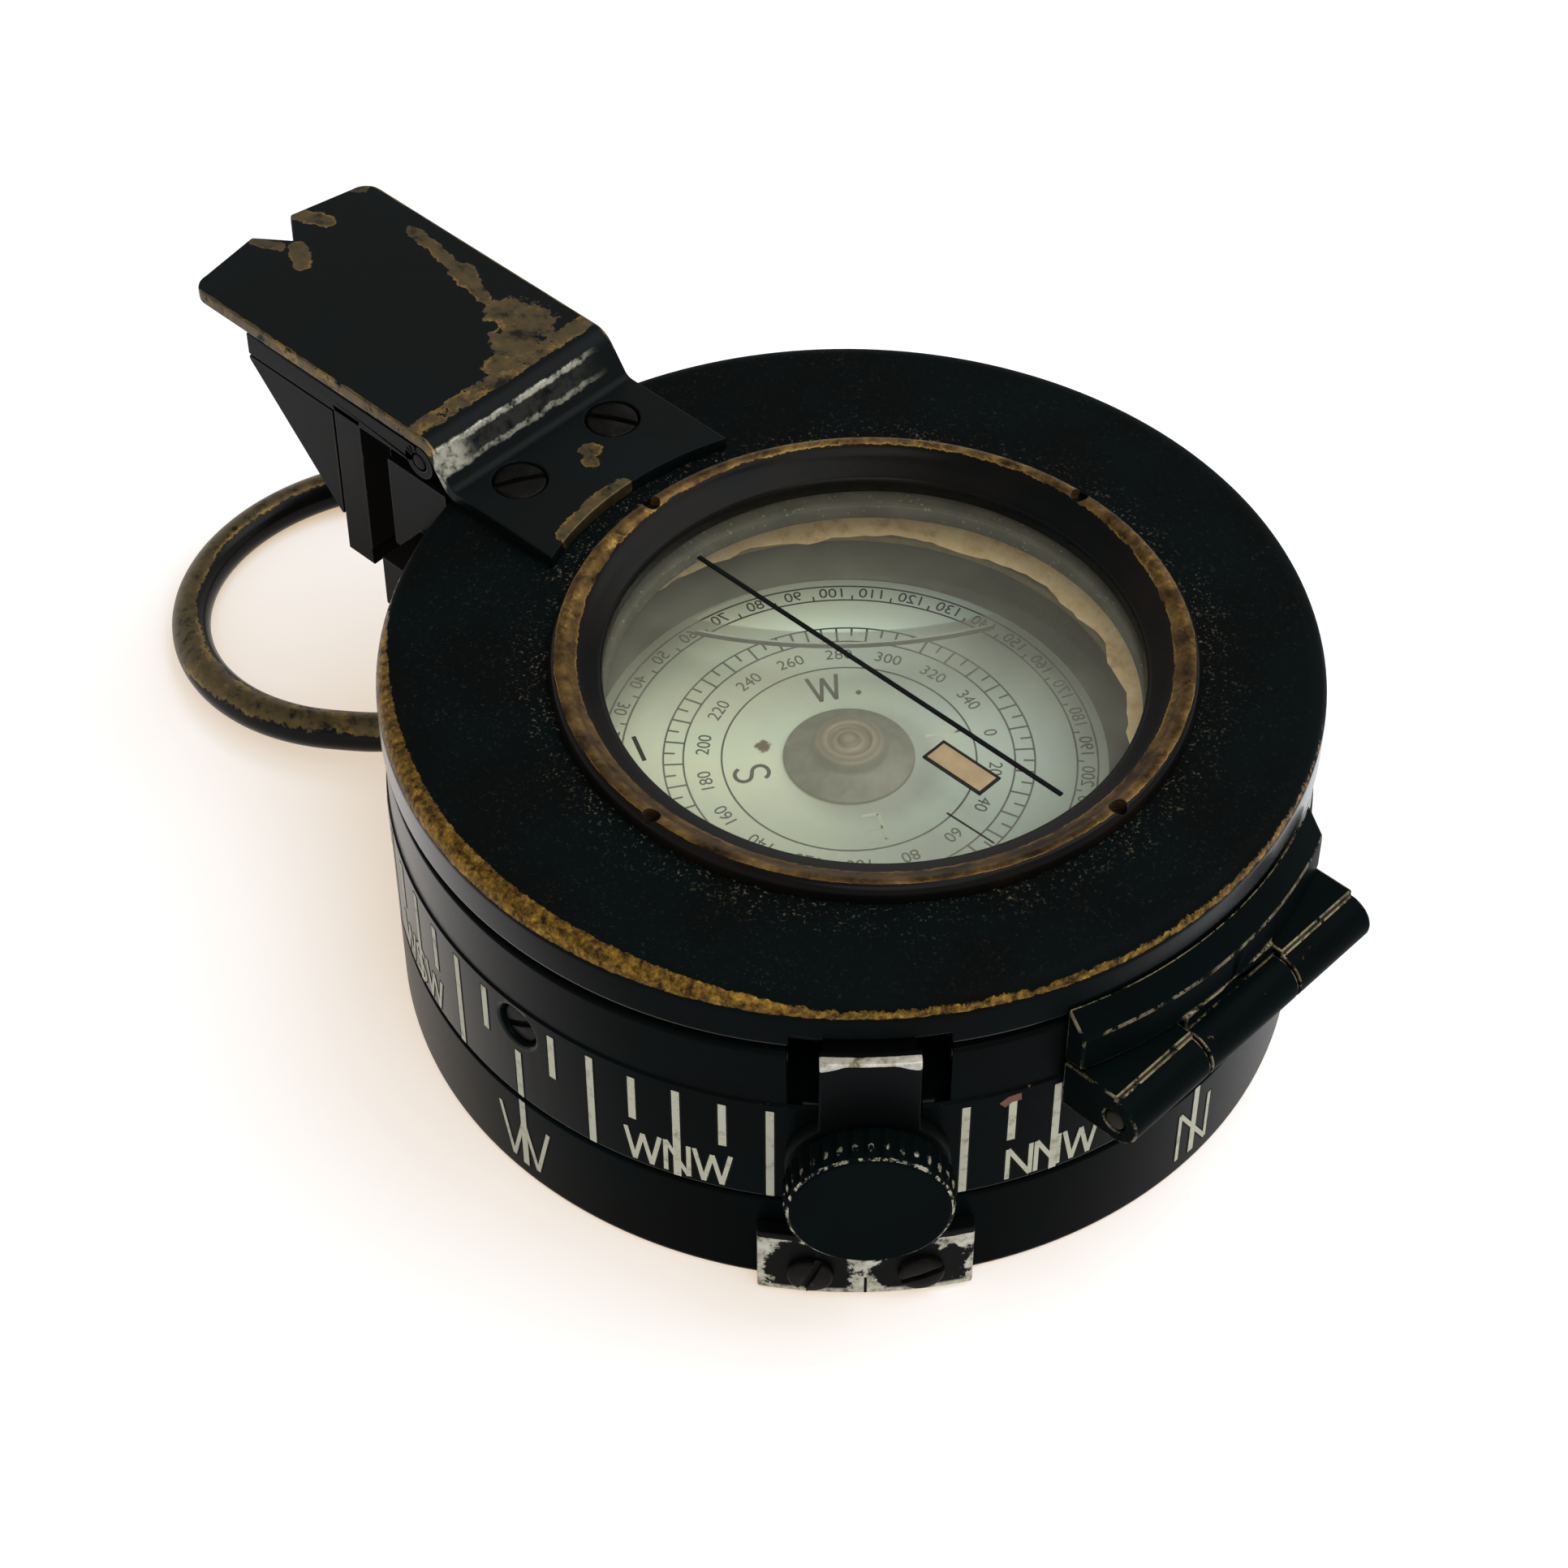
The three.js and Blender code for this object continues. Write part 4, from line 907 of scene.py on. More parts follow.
OLD_METALS = ((0.016, 0.009, 0.004), (0.06, 0.034, 0.012), (0.12, 0.07, 0.022), (0.25, 0.16, 0.055))
BROWN_METALS = ((0.016, 0.012, 0.008), (0.075, 0.058, 0.028), (0.11, 0.076, 0.034), (0.17, 0.12, 0.05))
RUBBED_METALS = ((0.025, 0.02, 0.012), (0.09, 0.072, 0.042), (0.16, 0.135, 0.08), (0.28, 0.25, 0.17))
PALE_METALS = ((0.08, 0.07, 0.04), (0.25, 0.23, 0.16), (0.46, 0.43, 0.33), (0.62, 0.6, 0.5))
USUAL_WEAR = (0.8, LID_METALS, 0.45, GOLD, 0.75)
Wear = namedtuple("Wear", "closeness patch metals mottle rim ragged", defaults=USUAL_WEAR)


def enamel(
    name,
    wear=None,
    shades=(BLACK, BROWN_BLACK),
    rough=0.42,
    shine=0.12,
    dust=None,
    polish_and_highlight=None,
    glance=0.0,
    seed=0.0,
):
    """Black enamel over brass, worn bare in places. glance is its sheen when it is seen at a slant."""
    finish = Finish(name)
    looks = {"Specular_IOR_Level": shine, "Coat_Roughness": 0.25}
    looks["Coat_Weight"] = glance * finish.facing().rise(0.42, 0.85)
    cloud = finish.grain(7, 5, seed=seed)
    fine = finish.grain(0.35, 3, 0.6, seed=seed + 3)
    paint = finish.mix(cloud.rise(0.35, 0.65), *shades)
    if dust:
        grains = finish.grain(0.22, 3, 0.7, seed + 5).rise(0.56, 0.7)
        paint = finish.mix(grains * dust(finish), paint, DUST)
    matt = rough + 0.12 * (cloud - 0.5) + 0.1 * (fine - 0.5)
    if wear is None:
        return finish.done(finish.surface(paint, matt, 0.0, fine, 0.006, **looks))
    ragged = wear.closeness(finish) + wear.ragged * (finish.grain(wear.patch, 8, 0.72, seed + 7) - 0.5)
    ragged = ragged + 0.35 * (fine - 0.5)
    bare = ragged.rise(0.46, 0.53)
    rim = ragged.fall(0.5, 0.68) * finish.grain(2.2, 3, 0.6, seed + 13).rise(0.44, 0.6)
    mottle = finish.grain(wear.mottle, 6, 0.7, seed + 11)
    dark, dull, bright, pale = wear.metals
    metal = finish.ramp(mottle, (0.36, dark), (0.47, dull), (0.6, bright), (0.75, pale))
    metal = finish.mix(0.75 * rim, metal, wear.rim)
    color = finish.mix(bare, paint, metal)
    roughness = matt * (1 - bare) + (0.3 + 0.25 * mottle) * bare
    metallic = 0.85 * bare
    # Rubbed lines painted pale and metallic, partly a painted highlight
    if polish_and_highlight:
        rubbed_highlight = polish_and_highlight(finish)
        color = finish.mix(rubbed_highlight, color, SILVER_HIGHLIGHT)
        roughness = roughness * (1 - rubbed_highlight) + 0.24 * rubbed_highlight
        metallic = metallic.or_more(0.8 * rubbed_highlight)
    height = fine * 0.3 - bare
    return finish.done(finish.surface(color, roughness, metallic, height, 0.02, **looks))


def lid_wear(finish):
    """Brass along the lid's edge, broad at the front left and a thin line elsewhere."""
    width = 0.62 + 0.98 * finish.towards(-100).rise(0.8, 1)
    edge = ((finish.radius() - CASE_RADIUS + width) / 0.5).or_more(0.0).or_less(1.0)
    shown = 0.28 + 0.36 * finish.towards(-62).rise(0.3, 0.72)
    uneven = 0.78 + 0.4 * finish.grain(5, 3, 0.6, 14)
    return finish.z.rise(lid.z1 - 1.25, lid.z1 - 0.85) * edge * shown * uneven


def lid_dust(finish):
    window_side = finish.radius(WINDOW_X).fall(BEAD_RADIUS, BEAD_RADIUS + 3.2)
    drifts = 0.35 + 0.65 * finish.grain(3, 4, 0.6, 8).rise(0.42, 0.62)
    return finish.z.rise(lid.z1 - 0.3, lid.z1) * drifts * (0.1 + 0.9 * window_side)


def bead_wear(finish):
    """Bare along the crest of the window's ring, and further in on the near side."""
    near = finish.towards(-50, WINDOW_X)
    out = finish.radius(WINDOW_X) + 1.3 * near
    crest = out.rise(BEAD_RADIUS - 1.5, BEAD_RADIUS - 0.9)
    crest = crest * (out - near).fall(BEAD_RADIUS - 0.35, BEAD_RADIUS - 0.05)
    return crest * finish.z.rise(lid.z1 + 0.2, lid.z1 + 0.5) * (0.6 + 0.15 * near)


def tongue_wear(finish):
    """Patches and scratches on the plate, a worn fold and edges, and patches on the flange."""
    top = finish.z.rise(tongue.z1 - 1.8, tongue.z1 - 0.8)
    scratches = [finish.streak(size, *points) for size, points in TONGUE_SCRATCHES]
    fold = finish.x.between(-33, -32, -31.2, -30.4) * 0.6
    edge = finish.y.size().rise(TONGUE_HALF - 0.35, TONGUE_HALF - 0.1) * 0.62
    on_plate = top * highest(finish.spots(*TONGUE_PATCHES), *scratches, fold, edge)
    rim = finish.radius(WINDOW_X).fall(BEAD_RADIUS + 2.2, BEAD_RADIUS + 3.4)
    rim = rim * finish.y.between(-7.4, -6, 0.2, 1.4) * 0.72
    on_flange = rim.or_more(finish.spots(*FLANGE_PATCHES))
    return on_plate.or_more((1 - top) * on_flange)


def tongue_polish(finish):
    """Two rubbed lines along the tongue's lower bend, which run together at its near end, painted pale as the
    highlight along the bend.
    """
    ragged = finish.x + 0.5 * (finish.grain(1.2, 6, 0.7, 31) - 0.5)
    upper = (ragged - UPPER_RUB_HIGHLIGHT).size().fall(0.06, 0.18)
    lower = (ragged - LOWER_RUB_HIGHLIGHT).size().fall(0.05, 0.15) * 0.5
    joined = ragged.between(UPPER_RUB_HIGHLIGHT - 0.23, UPPER_RUB_HIGHLIGHT - 0.03, LOWER_RUB_HIGHLIGHT - 0.05, LOWER_RUB_HIGHLIGHT + 0.15)
    joined = joined * (0.04 + 0.96 * finish.y.fall(-6.8, -4.9))
    kept = finish.grain(0.7, 6, 0.7, 33).rise(0.34, 0.58)
    return highest(upper, lower, joined) * kept * finish.y.fall(4, 7)


def hinge_wear(finish):
    """Bare brass along the crown of the barrel, a painted highlight where the light runs along it."""
    across = finish.x - HINGE_X
    rise = finish.z - HINGE_Z
    # Crown facing up and out: painted highlight as bare metal
    crown = (across * 0.5 + rise * 0.87).rise(HINGE_RADIUS - 0.022, HINGE_RADIUS - 0.006)
    return 0.36 * crown * finish.z.fall(LEAF_LOW - 0.6, LEAF_LOW - 0.5)


def hinge_edge_wear(finish):
    return 0.34 + 0.34 * finish.grain(4, 2, seed=15)


def ring_wear(finish):
    """Bare along the top of the wire, and round the outside of its bow."""
    middle_x = LUG_X - (RING_REACH - RING_BOW)
    outer = (finish.radius(middle_x, RING_SIDE) - RING_BOW) / WIRE
    wire_level = LUG_Z + (LUG_X - finish.x) * math.tan(RING_TILT)
    top = (finish.z - wire_level) / WIRE
    bow = finish.x.fall(LUG_X - RING_REACH + 4, LUG_X - RING_REACH + 14)
    return 0.5 + 0.7 * (top + (0.26 + 0.5 * bow) * outer - 0.78 + 0.3 * bow)


def edge_wear(finish):
    return 0.2 + 0.3 * finish.grain(9, 2, seed=5)


def band_wear(finish):
    """Faint pale lines along the step of the case, which are a painted highlight where its edge catches the
    light, and wear along its upper edge.
    """
    # Pale line along the step: painted highlight
    step = finish.z.between(STEP_LEVEL - 0.12, STEP_LEVEL, STEP_LEVEL + 0.1, STEP_LEVEL + 0.22)
    rim = finish.radius().rise(UPPER_RADIUS - 0.6, UPPER_RADIUS)
    top = finish.z.rise(shell.z1 - 0.3, shell.z1 - 0.1) * rim
    return 0.36 * step.or_more(top)


def base_wear(finish):
    foot = finish.z.fall(0.3, 0.7)
    left = finish.towards(-150).rise(0.6, 1)
    return foot * (0.2 + 0.25 * left)


def knob_wear(finish):
    """Bare on the tips of the teeth and round the front corner."""
    out = finish.along(CLAMP_BEARING)
    across = finish.along(CLAMP_BEARING + 90)
    rise = finish.z - KNOB_LEVEL
    spread = (across * across + rise * rise) ** 0.5
    tips = spread.rise(KNOB_RADIUS - 0.24, KNOB_RADIUS - 0.06) * out.rise(KNOB_BACK + 0.9, KNOB_BACK + 1.5)
    corner = spread.rise(KNOB_RADIUS - 0.42, KNOB_RADIUS - 0.3) * out.rise(KNOB_BACK + 2.2, KNOB_BACK + 2.35)
    return 0.48 * tips.or_more(corner)


def cream_fill():
    """Pale filling of the engraved lines, with grime in it."""
    finish = Finish("cream_filling")
    grime = finish.grain(0.9, 6, 0.7).rise(0.5, 0.72)
    color = finish.mix(grime, (0.46, 0.42, 0.29), (0.16, 0.13, 0.07))
    return finish.done(finish.surface(color, 0.62, 0.0, finish.grain(0.2), 0.01))


def plated():
    """Worn white plating of the clamp, with black left in blots round its screws and over its disc."""
    finish = Finish("clamp_plating")
    across = finish.along(CLAMP_BEARING + 90).size()
    aside = across - CLAMP_RADIUS * math.sin(math.radians(FOOT_SCREW_SPREAD))
    rise = finish.z - FOOT_SCREW_LEVEL
    blots = 1 - (aside * aside + rise * rise) ** 0.5 / 5.4
    lip_edge = CLAMP_LIP_TOP - 0.12 - 0.55 * (across / CLAMP_LIP_HALF).rise(0.4, 1)
    disc_part = finish.z.rise(5.2, 5.9) * (finish.z - lip_edge).fall(-0.25, 0.1)
    inner = finish.radius().fall(SIDE_RADIUS + 0.3, SIDE_RADIUS + 0.6)
    covered = highest(blots, 1.2 * disc_part, inner)
    black = (covered + 1.1 * (finish.grain(1.3, 6, 0.7, 2) - 0.5)).rise(0.4, 0.48)
    black = black * finish.z.rise(CLAMP_FOOT[0] + 0.3, CLAMP_FOOT[0] + 0.6)
    stain = finish.grain(0.8, 6, 0.7, 4)
    dirty = (0.36, (0.12, 0.1, 0.055))
    pale = finish.ramp(stain, dirty, (0.47, (0.42, 0.39, 0.3)), (0.62, (0.6, 0.58, 0.49)))
    color = finish.mix(black, pale, BLACK)
    rough = 0.36 + 0.2 * stain
    metallic = 0.4 * (1 - black)
    return finish.done(finish.surface(color, rough, metallic, stain, 0.012, Specular_IOR_Level=0.04))


def dark_steel():
    finish = Finish("dark_screw_steel")
    patch = finish.grain(0.9, 6, 0.65)
    worn = (0.78, (0.06, 0.05, 0.033))
    color = finish.ramp(patch, (0.4, (0.002, 0.002, 0.002)), (0.62, (0.006, 0.005, 0.004)), worn)
    return finish.done(finish.surface(color, 0.3 + 0.3 * patch, 0.25, patch, 0.02, Specular_IOR_Level=0.06))


def turned_brass():
    finish = Finish("turned_brass")
    patch = finish.grain(2, 5, 0.6)
    lines = finish.node("ShaderNodeTexNoise", sockets={"Vector": finish.place, "Scale": 6.0, "Detail": 2.0})
    color = finish.ramp(patch, (0.3, (0.2, 0.12, 0.04)), (0.55, (0.5, 0.34, 0.12)), (0.75, (0.62, 0.46, 0.2)))
    return finish.done(finish.surface(color, 0.28 + 0.2 * patch, 1.0, lines, 0.006))


def plain_finish(name, low, high, roughness, patch=2.0, shine=0.3):
    """Two close shades in soft patches, with a fine grain."""
    finish = Finish(name)
    cloud = finish.grain(patch, 5, 0.6)
    fine = finish.grain(patch / 8, 4)
    color = finish.mix(cloud.rise(0.3, 0.7), low, high)
    rough = roughness + 0.15 * (fine - 0.5)
    return finish.done(finish.surface(color, rough, 0.0, fine, 0.01, Specular_IOR_Level=shine))


def card_paper():
    """Pearly card with stains and a rust spot, with a painted sheen in hues that shift across it and a
    painted shadow round its cap.
    """
    finish = Finish("card_paper")
    cloud = finish.grain(5, 5, 0.6)
    blot = finish.grain(1.1, 6, 0.7, 2).rise(0.66, 0.8)
    # Pearly hues that shift across the card: a painted sheen
    side = (0.7 * finish.x + 0.7 * finish.y).rise(-11, 12)
    pale = finish.mix(side, (0.88, 0.87, 0.62), (0.74, 0.86, 0.75))
    cool = finish.mix(side, (0.77, 0.85, 0.65), (0.7, 0.79, 0.75))
    color = finish.mix(cloud.rise(0.3, 0.7), pale, cool)
    color = finish.mix(0.4 * blot, color, (0.3, 0.29, 0.2))
    # Grey round the cap, off to one side: the cap's painted shadow on the card
    cap_shadow = finish.radius(1.2, 0.3).fall(3.9, 6.2)
    color = finish.mix(0.55 * cap_shadow, color, (0.3, 0.29, 0.25))
    ragged = finish.spots((-4.7, -3.2, 0.9)) + 1.4 * (finish.grain(0.5, 4, 0.7, 9) - 0.5)
    color = finish.mix(ragged.rise(0.3, 0.6), color, (0.11, 0.045, 0.01))
    return finish.done(finish.surface(color, 0.55, 0.0, finish.grain(0.3), 0.004))


def cap_metal():
    """Grey cap of the card, browned in rings round its middle."""
    finish = Finish("card_cap_metal")
    out = finish.radius()
    rings = finish.math("SINE", out * 9.0) * 0.5 + 0.5
    stain = finish.grain(1.4, 5, 0.65)
    brown = finish.mix(rings, (0.2, 0.14, 0.09), (0.31, 0.26, 0.19))
    grey = finish.mix(stain.rise(0.35, 0.65), (0.17, 0.16, 0.13), (0.25, 0.235, 0.185))
    color = finish.mix(out.fall(1.9, 2.5), grey, brown)
    return finish.done(finish.surface(color, 0.5, 0.25, stain, 0.01))


def olive_dust():
    """Dusty olive paint inside the window."""
    finish = Finish("dusty_olive_paint")
    cloud = finish.grain(3, 6, 0.65)
    specks = finish.specks(0.4, 0.3)
    color = finish.mix(cloud.rise(0.3, 0.7), (0.03, 0.027, 0.014), (0.062, 0.056, 0.032))
    color = finish.mix(0.6 * specks, color, (0.2, 0.18, 0.11))
    return finish.done(finish.surface(color, 0.75, 0.0, finish.grain(0.25), 0.02))


def sealing_tan():
    finish = Finish("tan_sealing")
    cloud = finish.grain(1.6, 6, 0.65)
    dark = (0.28, (0.42, 0.25, 0.1))
    color = finish.ramp(cloud, dark, (0.45, (0.76, 0.53, 0.25)), (0.65, (0.86, 0.68, 0.38)))
    return finish.done(finish.surface(color, 0.5 + 0.2 * cloud, 0.0, cloud, 0.06))


def pane(name, gloss, haze, shade=None):
    """Thin clear glass: what is behind it, a veil of haze and a mirrored share. shade adds a grey tint over
    what lies under it, used as painted shade.
    """
    finish = Finish(name)
    clear = finish.lobe("BsdfTransparent", CLEAR_GLASS)
    if shade:
        # Grey tint over what lies under the pane: painted shade
        clear = finish.blend(shade(finish), clear, finish.lobe("BsdfTransparent", LIQUID_SHADE))
    share = haze(finish) if callable(haze) else haze
    dull = finish.blend(share, clear, finish.lobe("BsdfDiffuse", HAZE))
    edge = (0.04 + 0.96 * finish.facing() ** 5) * gloss
    return finish.done(finish.blend(edge, dull, finish.lobe("BsdfGlossy", WHITE, Roughness=0.03)))


def bubble_share(finish):
    """1 inside the bubble, 0 in the liquid."""
    inside = finish.radius(*BUBBLE_ARC_CENTRE).fall(BUBBLE_ARC - 0.1, BUBBLE_ARC + 0.1)
    return inside * finish.radius(*BUBBLE_ROUND_CENTRE).fall(BUBBLE_ROUND - 0.1, BUBBLE_ROUND + 0.1)


def liquid_veil(finish):
    cloudy = 0.12 + 0.1 * finish.grain(6, 4).rise(0.3, 0.7)
    return cloudy * (1 - bubble_share(finish))


def liquid_depth(finish):
    """Share of the liquid's grey tint, which is partly painted shade: darker to the right, beside the bubble,
    at the rim and on the near side.
    """
    right = (0.35 * finish.x + 0.94 * finish.y).rise(-12, 15)
    far = finish.y - finish.x
    beside = far.rise(-2, 12)
    rim = finish.radius(*BUBBLE_ROUND_CENTRE).rise(13, 16) * far.rise(-12, 6)
    near = (finish.x - finish.y).rise(2, 16)
    # Painted shade on the card, laid on through the liquid's grey tint
    shaded = (0.05 + 0.25 * right + 0.65 * beside + 0.4 * near + 0.5 * rim).or_less(1.0)
    return shaded * (1 - bubble_share(finish))


def lid_haze(finish):
    edge = finish.radius(WINDOW_X).rise(WINDOW_RADIUS - 3.5, WINDOW_RADIUS)
    return 0.012 + 0.1 * edge * finish.grain(1.5, 6, 0.7) + 0.6 * finish.specks(7, 0.03, 3)


COLD = (BLACK, BLUE_BLACK)
lid_metal = Wear(lid_wear, 0.7, rim=DARK_BRASS, ragged=0.8)
lid_enamel = enamel("lid_enamel", lid_metal, COLD, 0.55, 0.014, lid_dust, seed=1)
side_enamel = enamel("lid_side_enamel", lid_metal, COLD, 0.3, 0.014, glance=1.0, seed=1)
band_enamel = enamel("case_enamel", Wear(band_wear, 0.8, OLD_METALS), COLD, 0.3, 0.012, glance=0.65, seed=2)
base_enamel = enamel("base_enamel", Wear(base_wear, 0.8, OLD_METALS), COLD, 0.4, 0.008, glance=0.3, seed=3)
bead_metal = Wear(bead_wear, 1.6, OLD_METALS, 1.8)
bead_enamel = enamel("window_ring_enamel", bead_metal, rough=0.24, shine=0.06, seed=4)
tongue_metal = Wear(tongue_wear, 1.1, BROWN_METALS, 1.6, GOLD, 1.2)
tongue_enamel = enamel("tongue_enamel", tongue_metal, COLD, 0.4, 0.06, polish_and_highlight=tongue_polish, seed=5)
ring_metal = Wear(ring_wear, 1.8, BROWN_METALS, 0.9)
ring_enamel = enamel("thumb_ring_enamel", ring_metal, rough=0.24, shine=0.1, seed=6)
edge_enamel = enamel("worn_edge_enamel", Wear(edge_wear, 1.2, OLD_METALS), rough=0.34, shine=0.14, seed=7)
knob_enamel = enamel("knob_enamel", Wear(knob_wear, 0.6, PALE_METALS, 0.45, PALE), COLD, 0.42, 0.008, seed=8)
hinge_metal = Wear(hinge_wear, 1.1, RUBBED_METALS)
hinge_edge_metal = Wear(hinge_edge_wear, 1.4, RUBBED_METALS, 0.9, RUBBED)
hinge_enamel = enamel("hinge_enamel", hinge_metal, COLD, 0.38, 0.008, seed=12)
hinge_edge_enamel = enamel("hinge_edge_enamel", hinge_edge_metal, COLD, 0.42, 0.012, seed=16)
fitting_enamel = enamel("fitting_enamel", rough=0.42, shine=0.06, seed=9)
inner_enamel = enamel("inner_enamel", rough=0.55, shine=0.06, seed=10)
FITTING = [fitting_enamel, edge_enamel]
HINGE = [hinge_enamel, hinge_edge_enamel]
cream = cream_fill()
clamp_plating = plated()
screw_steel = dark_steel()
brass = turned_brass()
paper = card_paper()
cap_finish = cap_metal()
olive = olive_dust()
tan = sealing_tan()
ink = plain_finish("printing_ink", (0.012, 0.013, 0.013), (0.05, 0.05, 0.045), 0.7)
line_black = plain_finish("line_black", (0.002, 0.002, 0.002), (0.004, 0.004, 0.004), 0.6, 2, 0.05)
aged_brass = plain_finish("aged_brass", (0.006, 0.005, 0.003), (0.016, 0.011, 0.006), 0.45, 0.8, 0.1)
rubber = plain_finish("black_rubber", (0.012, 0.012, 0.012), (0.02, 0.02, 0.019), 0.85)
bowl_grey = plain_finish("bowl_grey", (0.07, 0.07, 0.06), (0.11, 0.11, 0.09), 0.6, 3)
bubble_edge_shade = plain_finish("bubble_edge_painted_shade", (0.07, 0.07, 0.065), (0.12, 0.12, 0.11), 0.5)
pale_print_and_highlight = plain_finish("pale_printing_and_painted_highlight", (0.74, 0.78, 0.62), (0.8, 0.84, 0.67), 0.6)
jewel_red = plain_finish("jewel_red", (0.2, 0.02, 0.03), (0.3, 0.04, 0.05), 0.15)
luminous = plain_finish("aged_luminous_paint", (0.3, 0.205, 0.11), (0.37, 0.265, 0.145), 0.6, 1.2)
rust_dab = plain_finish("reddish_dab", (0.09, 0.032, 0.014), (0.15, 0.06, 0.03), 0.6, 0.8)
window_pane = pane("window_glass", 0.5, lid_haze)
turning_pane = pane("turning_glass", 0.35, 0.03)
bowl_pane = pane("bowl_glass_and_liquid", 0.35, liquid_veil, liquid_depth)
prism_pane = pane("prism_glass_block", 1.0, 0.05)


# Case and base


def make_case():
    wall = turned(
        [
            (SKIRT_RADIUS, shell.z0),
            (CASE_RADIUS, shell.z0, 0.25),
            (CASE_RADIUS, STEP_LEVEL, 0.05),
            (UPPER_RADIUS, STEP_LEVEL + STAND, 0.05),
            (UPPER_RADIUS, shell.z1, 0.4),
            (MOUTH_RADIUS, shell.z1, 0.25),
            (MOUTH_RADIUS, LEDGE_LEVEL),
            (LEDGE_BORE, LEDGE_LEVEL),
            (LEDGE_BORE, LEDGE_LEVEL - LEDGE_THICKNESS),
            (SKIRT_RADIUS, LEDGE_LEVEL - LEDGE_THICKNESS),
        ]
    )
    notch = block(MOUTH_RADIUS - PAST, CASE_RADIUS + PAST, NOTCH_WIDTH, NOTCH_LEVEL, shell.z1 + PAST)
    tools = [at_clamp(notch)]
    hole = LOCK_SCREW.head + CLEAR
    past = 0.3
    sink = [(0, -LOCK_SINK), (hole, -LOCK_SINK), (hole, -LOCK_FLARE), (hole + LOCK_FLARE, past), (0, past)]
    for side in SIDES:
        tools.append(outwards(turned(sink, 0, FINE), CASE_RADIUS, LOCK_LEVEL, side * LOCK_BEARING))
    knob_bore = disc(KNOB_SHANK + RUN, -KNOB_BORE_DEPTH, PAST, segments=FINE)
    tools.append(outwards(knob_bore, CASE_RADIUS, KNOB_LEVEL, CLAMP_BEARING))
    body = soften(cut(wall, *tools), 0.15, 40, flat=False)
    piece("case_shell", body, [band_enamel, edge_enamel], "case", "body_shell", slot="black_paint")

    def in_band(made, side):
        return outwards(made, CASE_RADIUS - LOCK_INSET, LOCK_LEVEL, side * LOCK_BEARING)

    screws("case_lock_screw", "lock_screw", "case", LOCK_SCREW, LOCK_SLOTS, in_band)


def make_base():
    band = turned(
        [
            (SKIRT_RADIUS, 0),
            (CASE_RADIUS, 0, 0.5),
            (CASE_RADIUS, SPIGOT_LEVEL, 0.25),
            (SPIGOT_RADIUS, SPIGOT_LEVEL),
            (SPIGOT_RADIUS, base_band.z1),
            (SPIGOT_BORE, base_band.z1),
            (SPIGOT_BORE, BASE_LEDGE_LEVEL),
            (GASKET_BORE, BASE_LEDGE_LEVEL),
            (GASKET_BORE, GASKET_TOP),
            (SKIRT_RADIUS, GASKET_TOP),
        ]
    )
    piece("case_base_band", band, [base_enamel], "case", "base_ring", slot="black_paint")


def on_case(across, up, height):
    """A point of the case's side: across in millimetres round it, up from the table, height off the metal."""
    angle = across / CASE_RADIUS
    out = CASE_RADIUS + height
    return (out * math.cos(angle), out * math.sin(angle), up)


def make_engraving():
    lines = bmesh.new()
    # Painted shadow along the edges of the engraved lines
    edges = bmesh.new()

    def engraved(bearing, points, width):
        start = math.radians(bearing) * CASE_RADIUS
        path = [(start + x, z) for x, z in points]
        stroke(lines, path, width, on_case)
        # Wider black line under each cream one: painted shadow along the engraving's edges
        stroke(edges, path, width + LINE_SHADOW_WIDTH, on_case, high=0.015)

    def tick(bearing, low, high):
        engraved(bearing, [(0, low), (0, high)], TICK_WIDTH)

    for i in range(DIVISIONS):
        bearing = i * DIVISION
        point = POINTS[i // POINT_STEP] if i % POINT_STEP == 0 else ""
        main = len(point) == 1
        at_knob = abs((bearing - CLAMP_BEARING + 180) % 360 - 180) < CLAMP_ROOM
        if main:
            tick(bearing, POINT_LINE[0], SPIGOT_LEVEL - CLEAR)
            tick(bearing, shell.z0 + 2 * CLEAR, POINT_LINE[1])
        elif not at_knob:
            tick(bearing, *(SHORT_TICK if i % 2 else LONG_TICK))
        if not point or at_knob:
            continue
        low, high = BASE_LETTERS if main else BAND_LETTERS
        for points in letter_strokes(point, high - low, MAIN_POINT_STRETCH if main else 1):
            engraved(bearing, [(x, low + z) for x, z in points], LETTER_LINE)
    piece("case_engraving", lines, [cream], "case")
    piece("case_engraving_painted_shadow", edges, [line_black], "case")


def make_dab():
    dab = bmesh.new()
    start = math.radians(DAB_BEARING) * CASE_RADIUS
    stroke(dab, [(start + x, z) for x, z in DAB], DAB_WIDTH, on_case, high=0.05)
    piece("case_reddish_dab", dab, [rust_dab], "case")


# Inside of the case


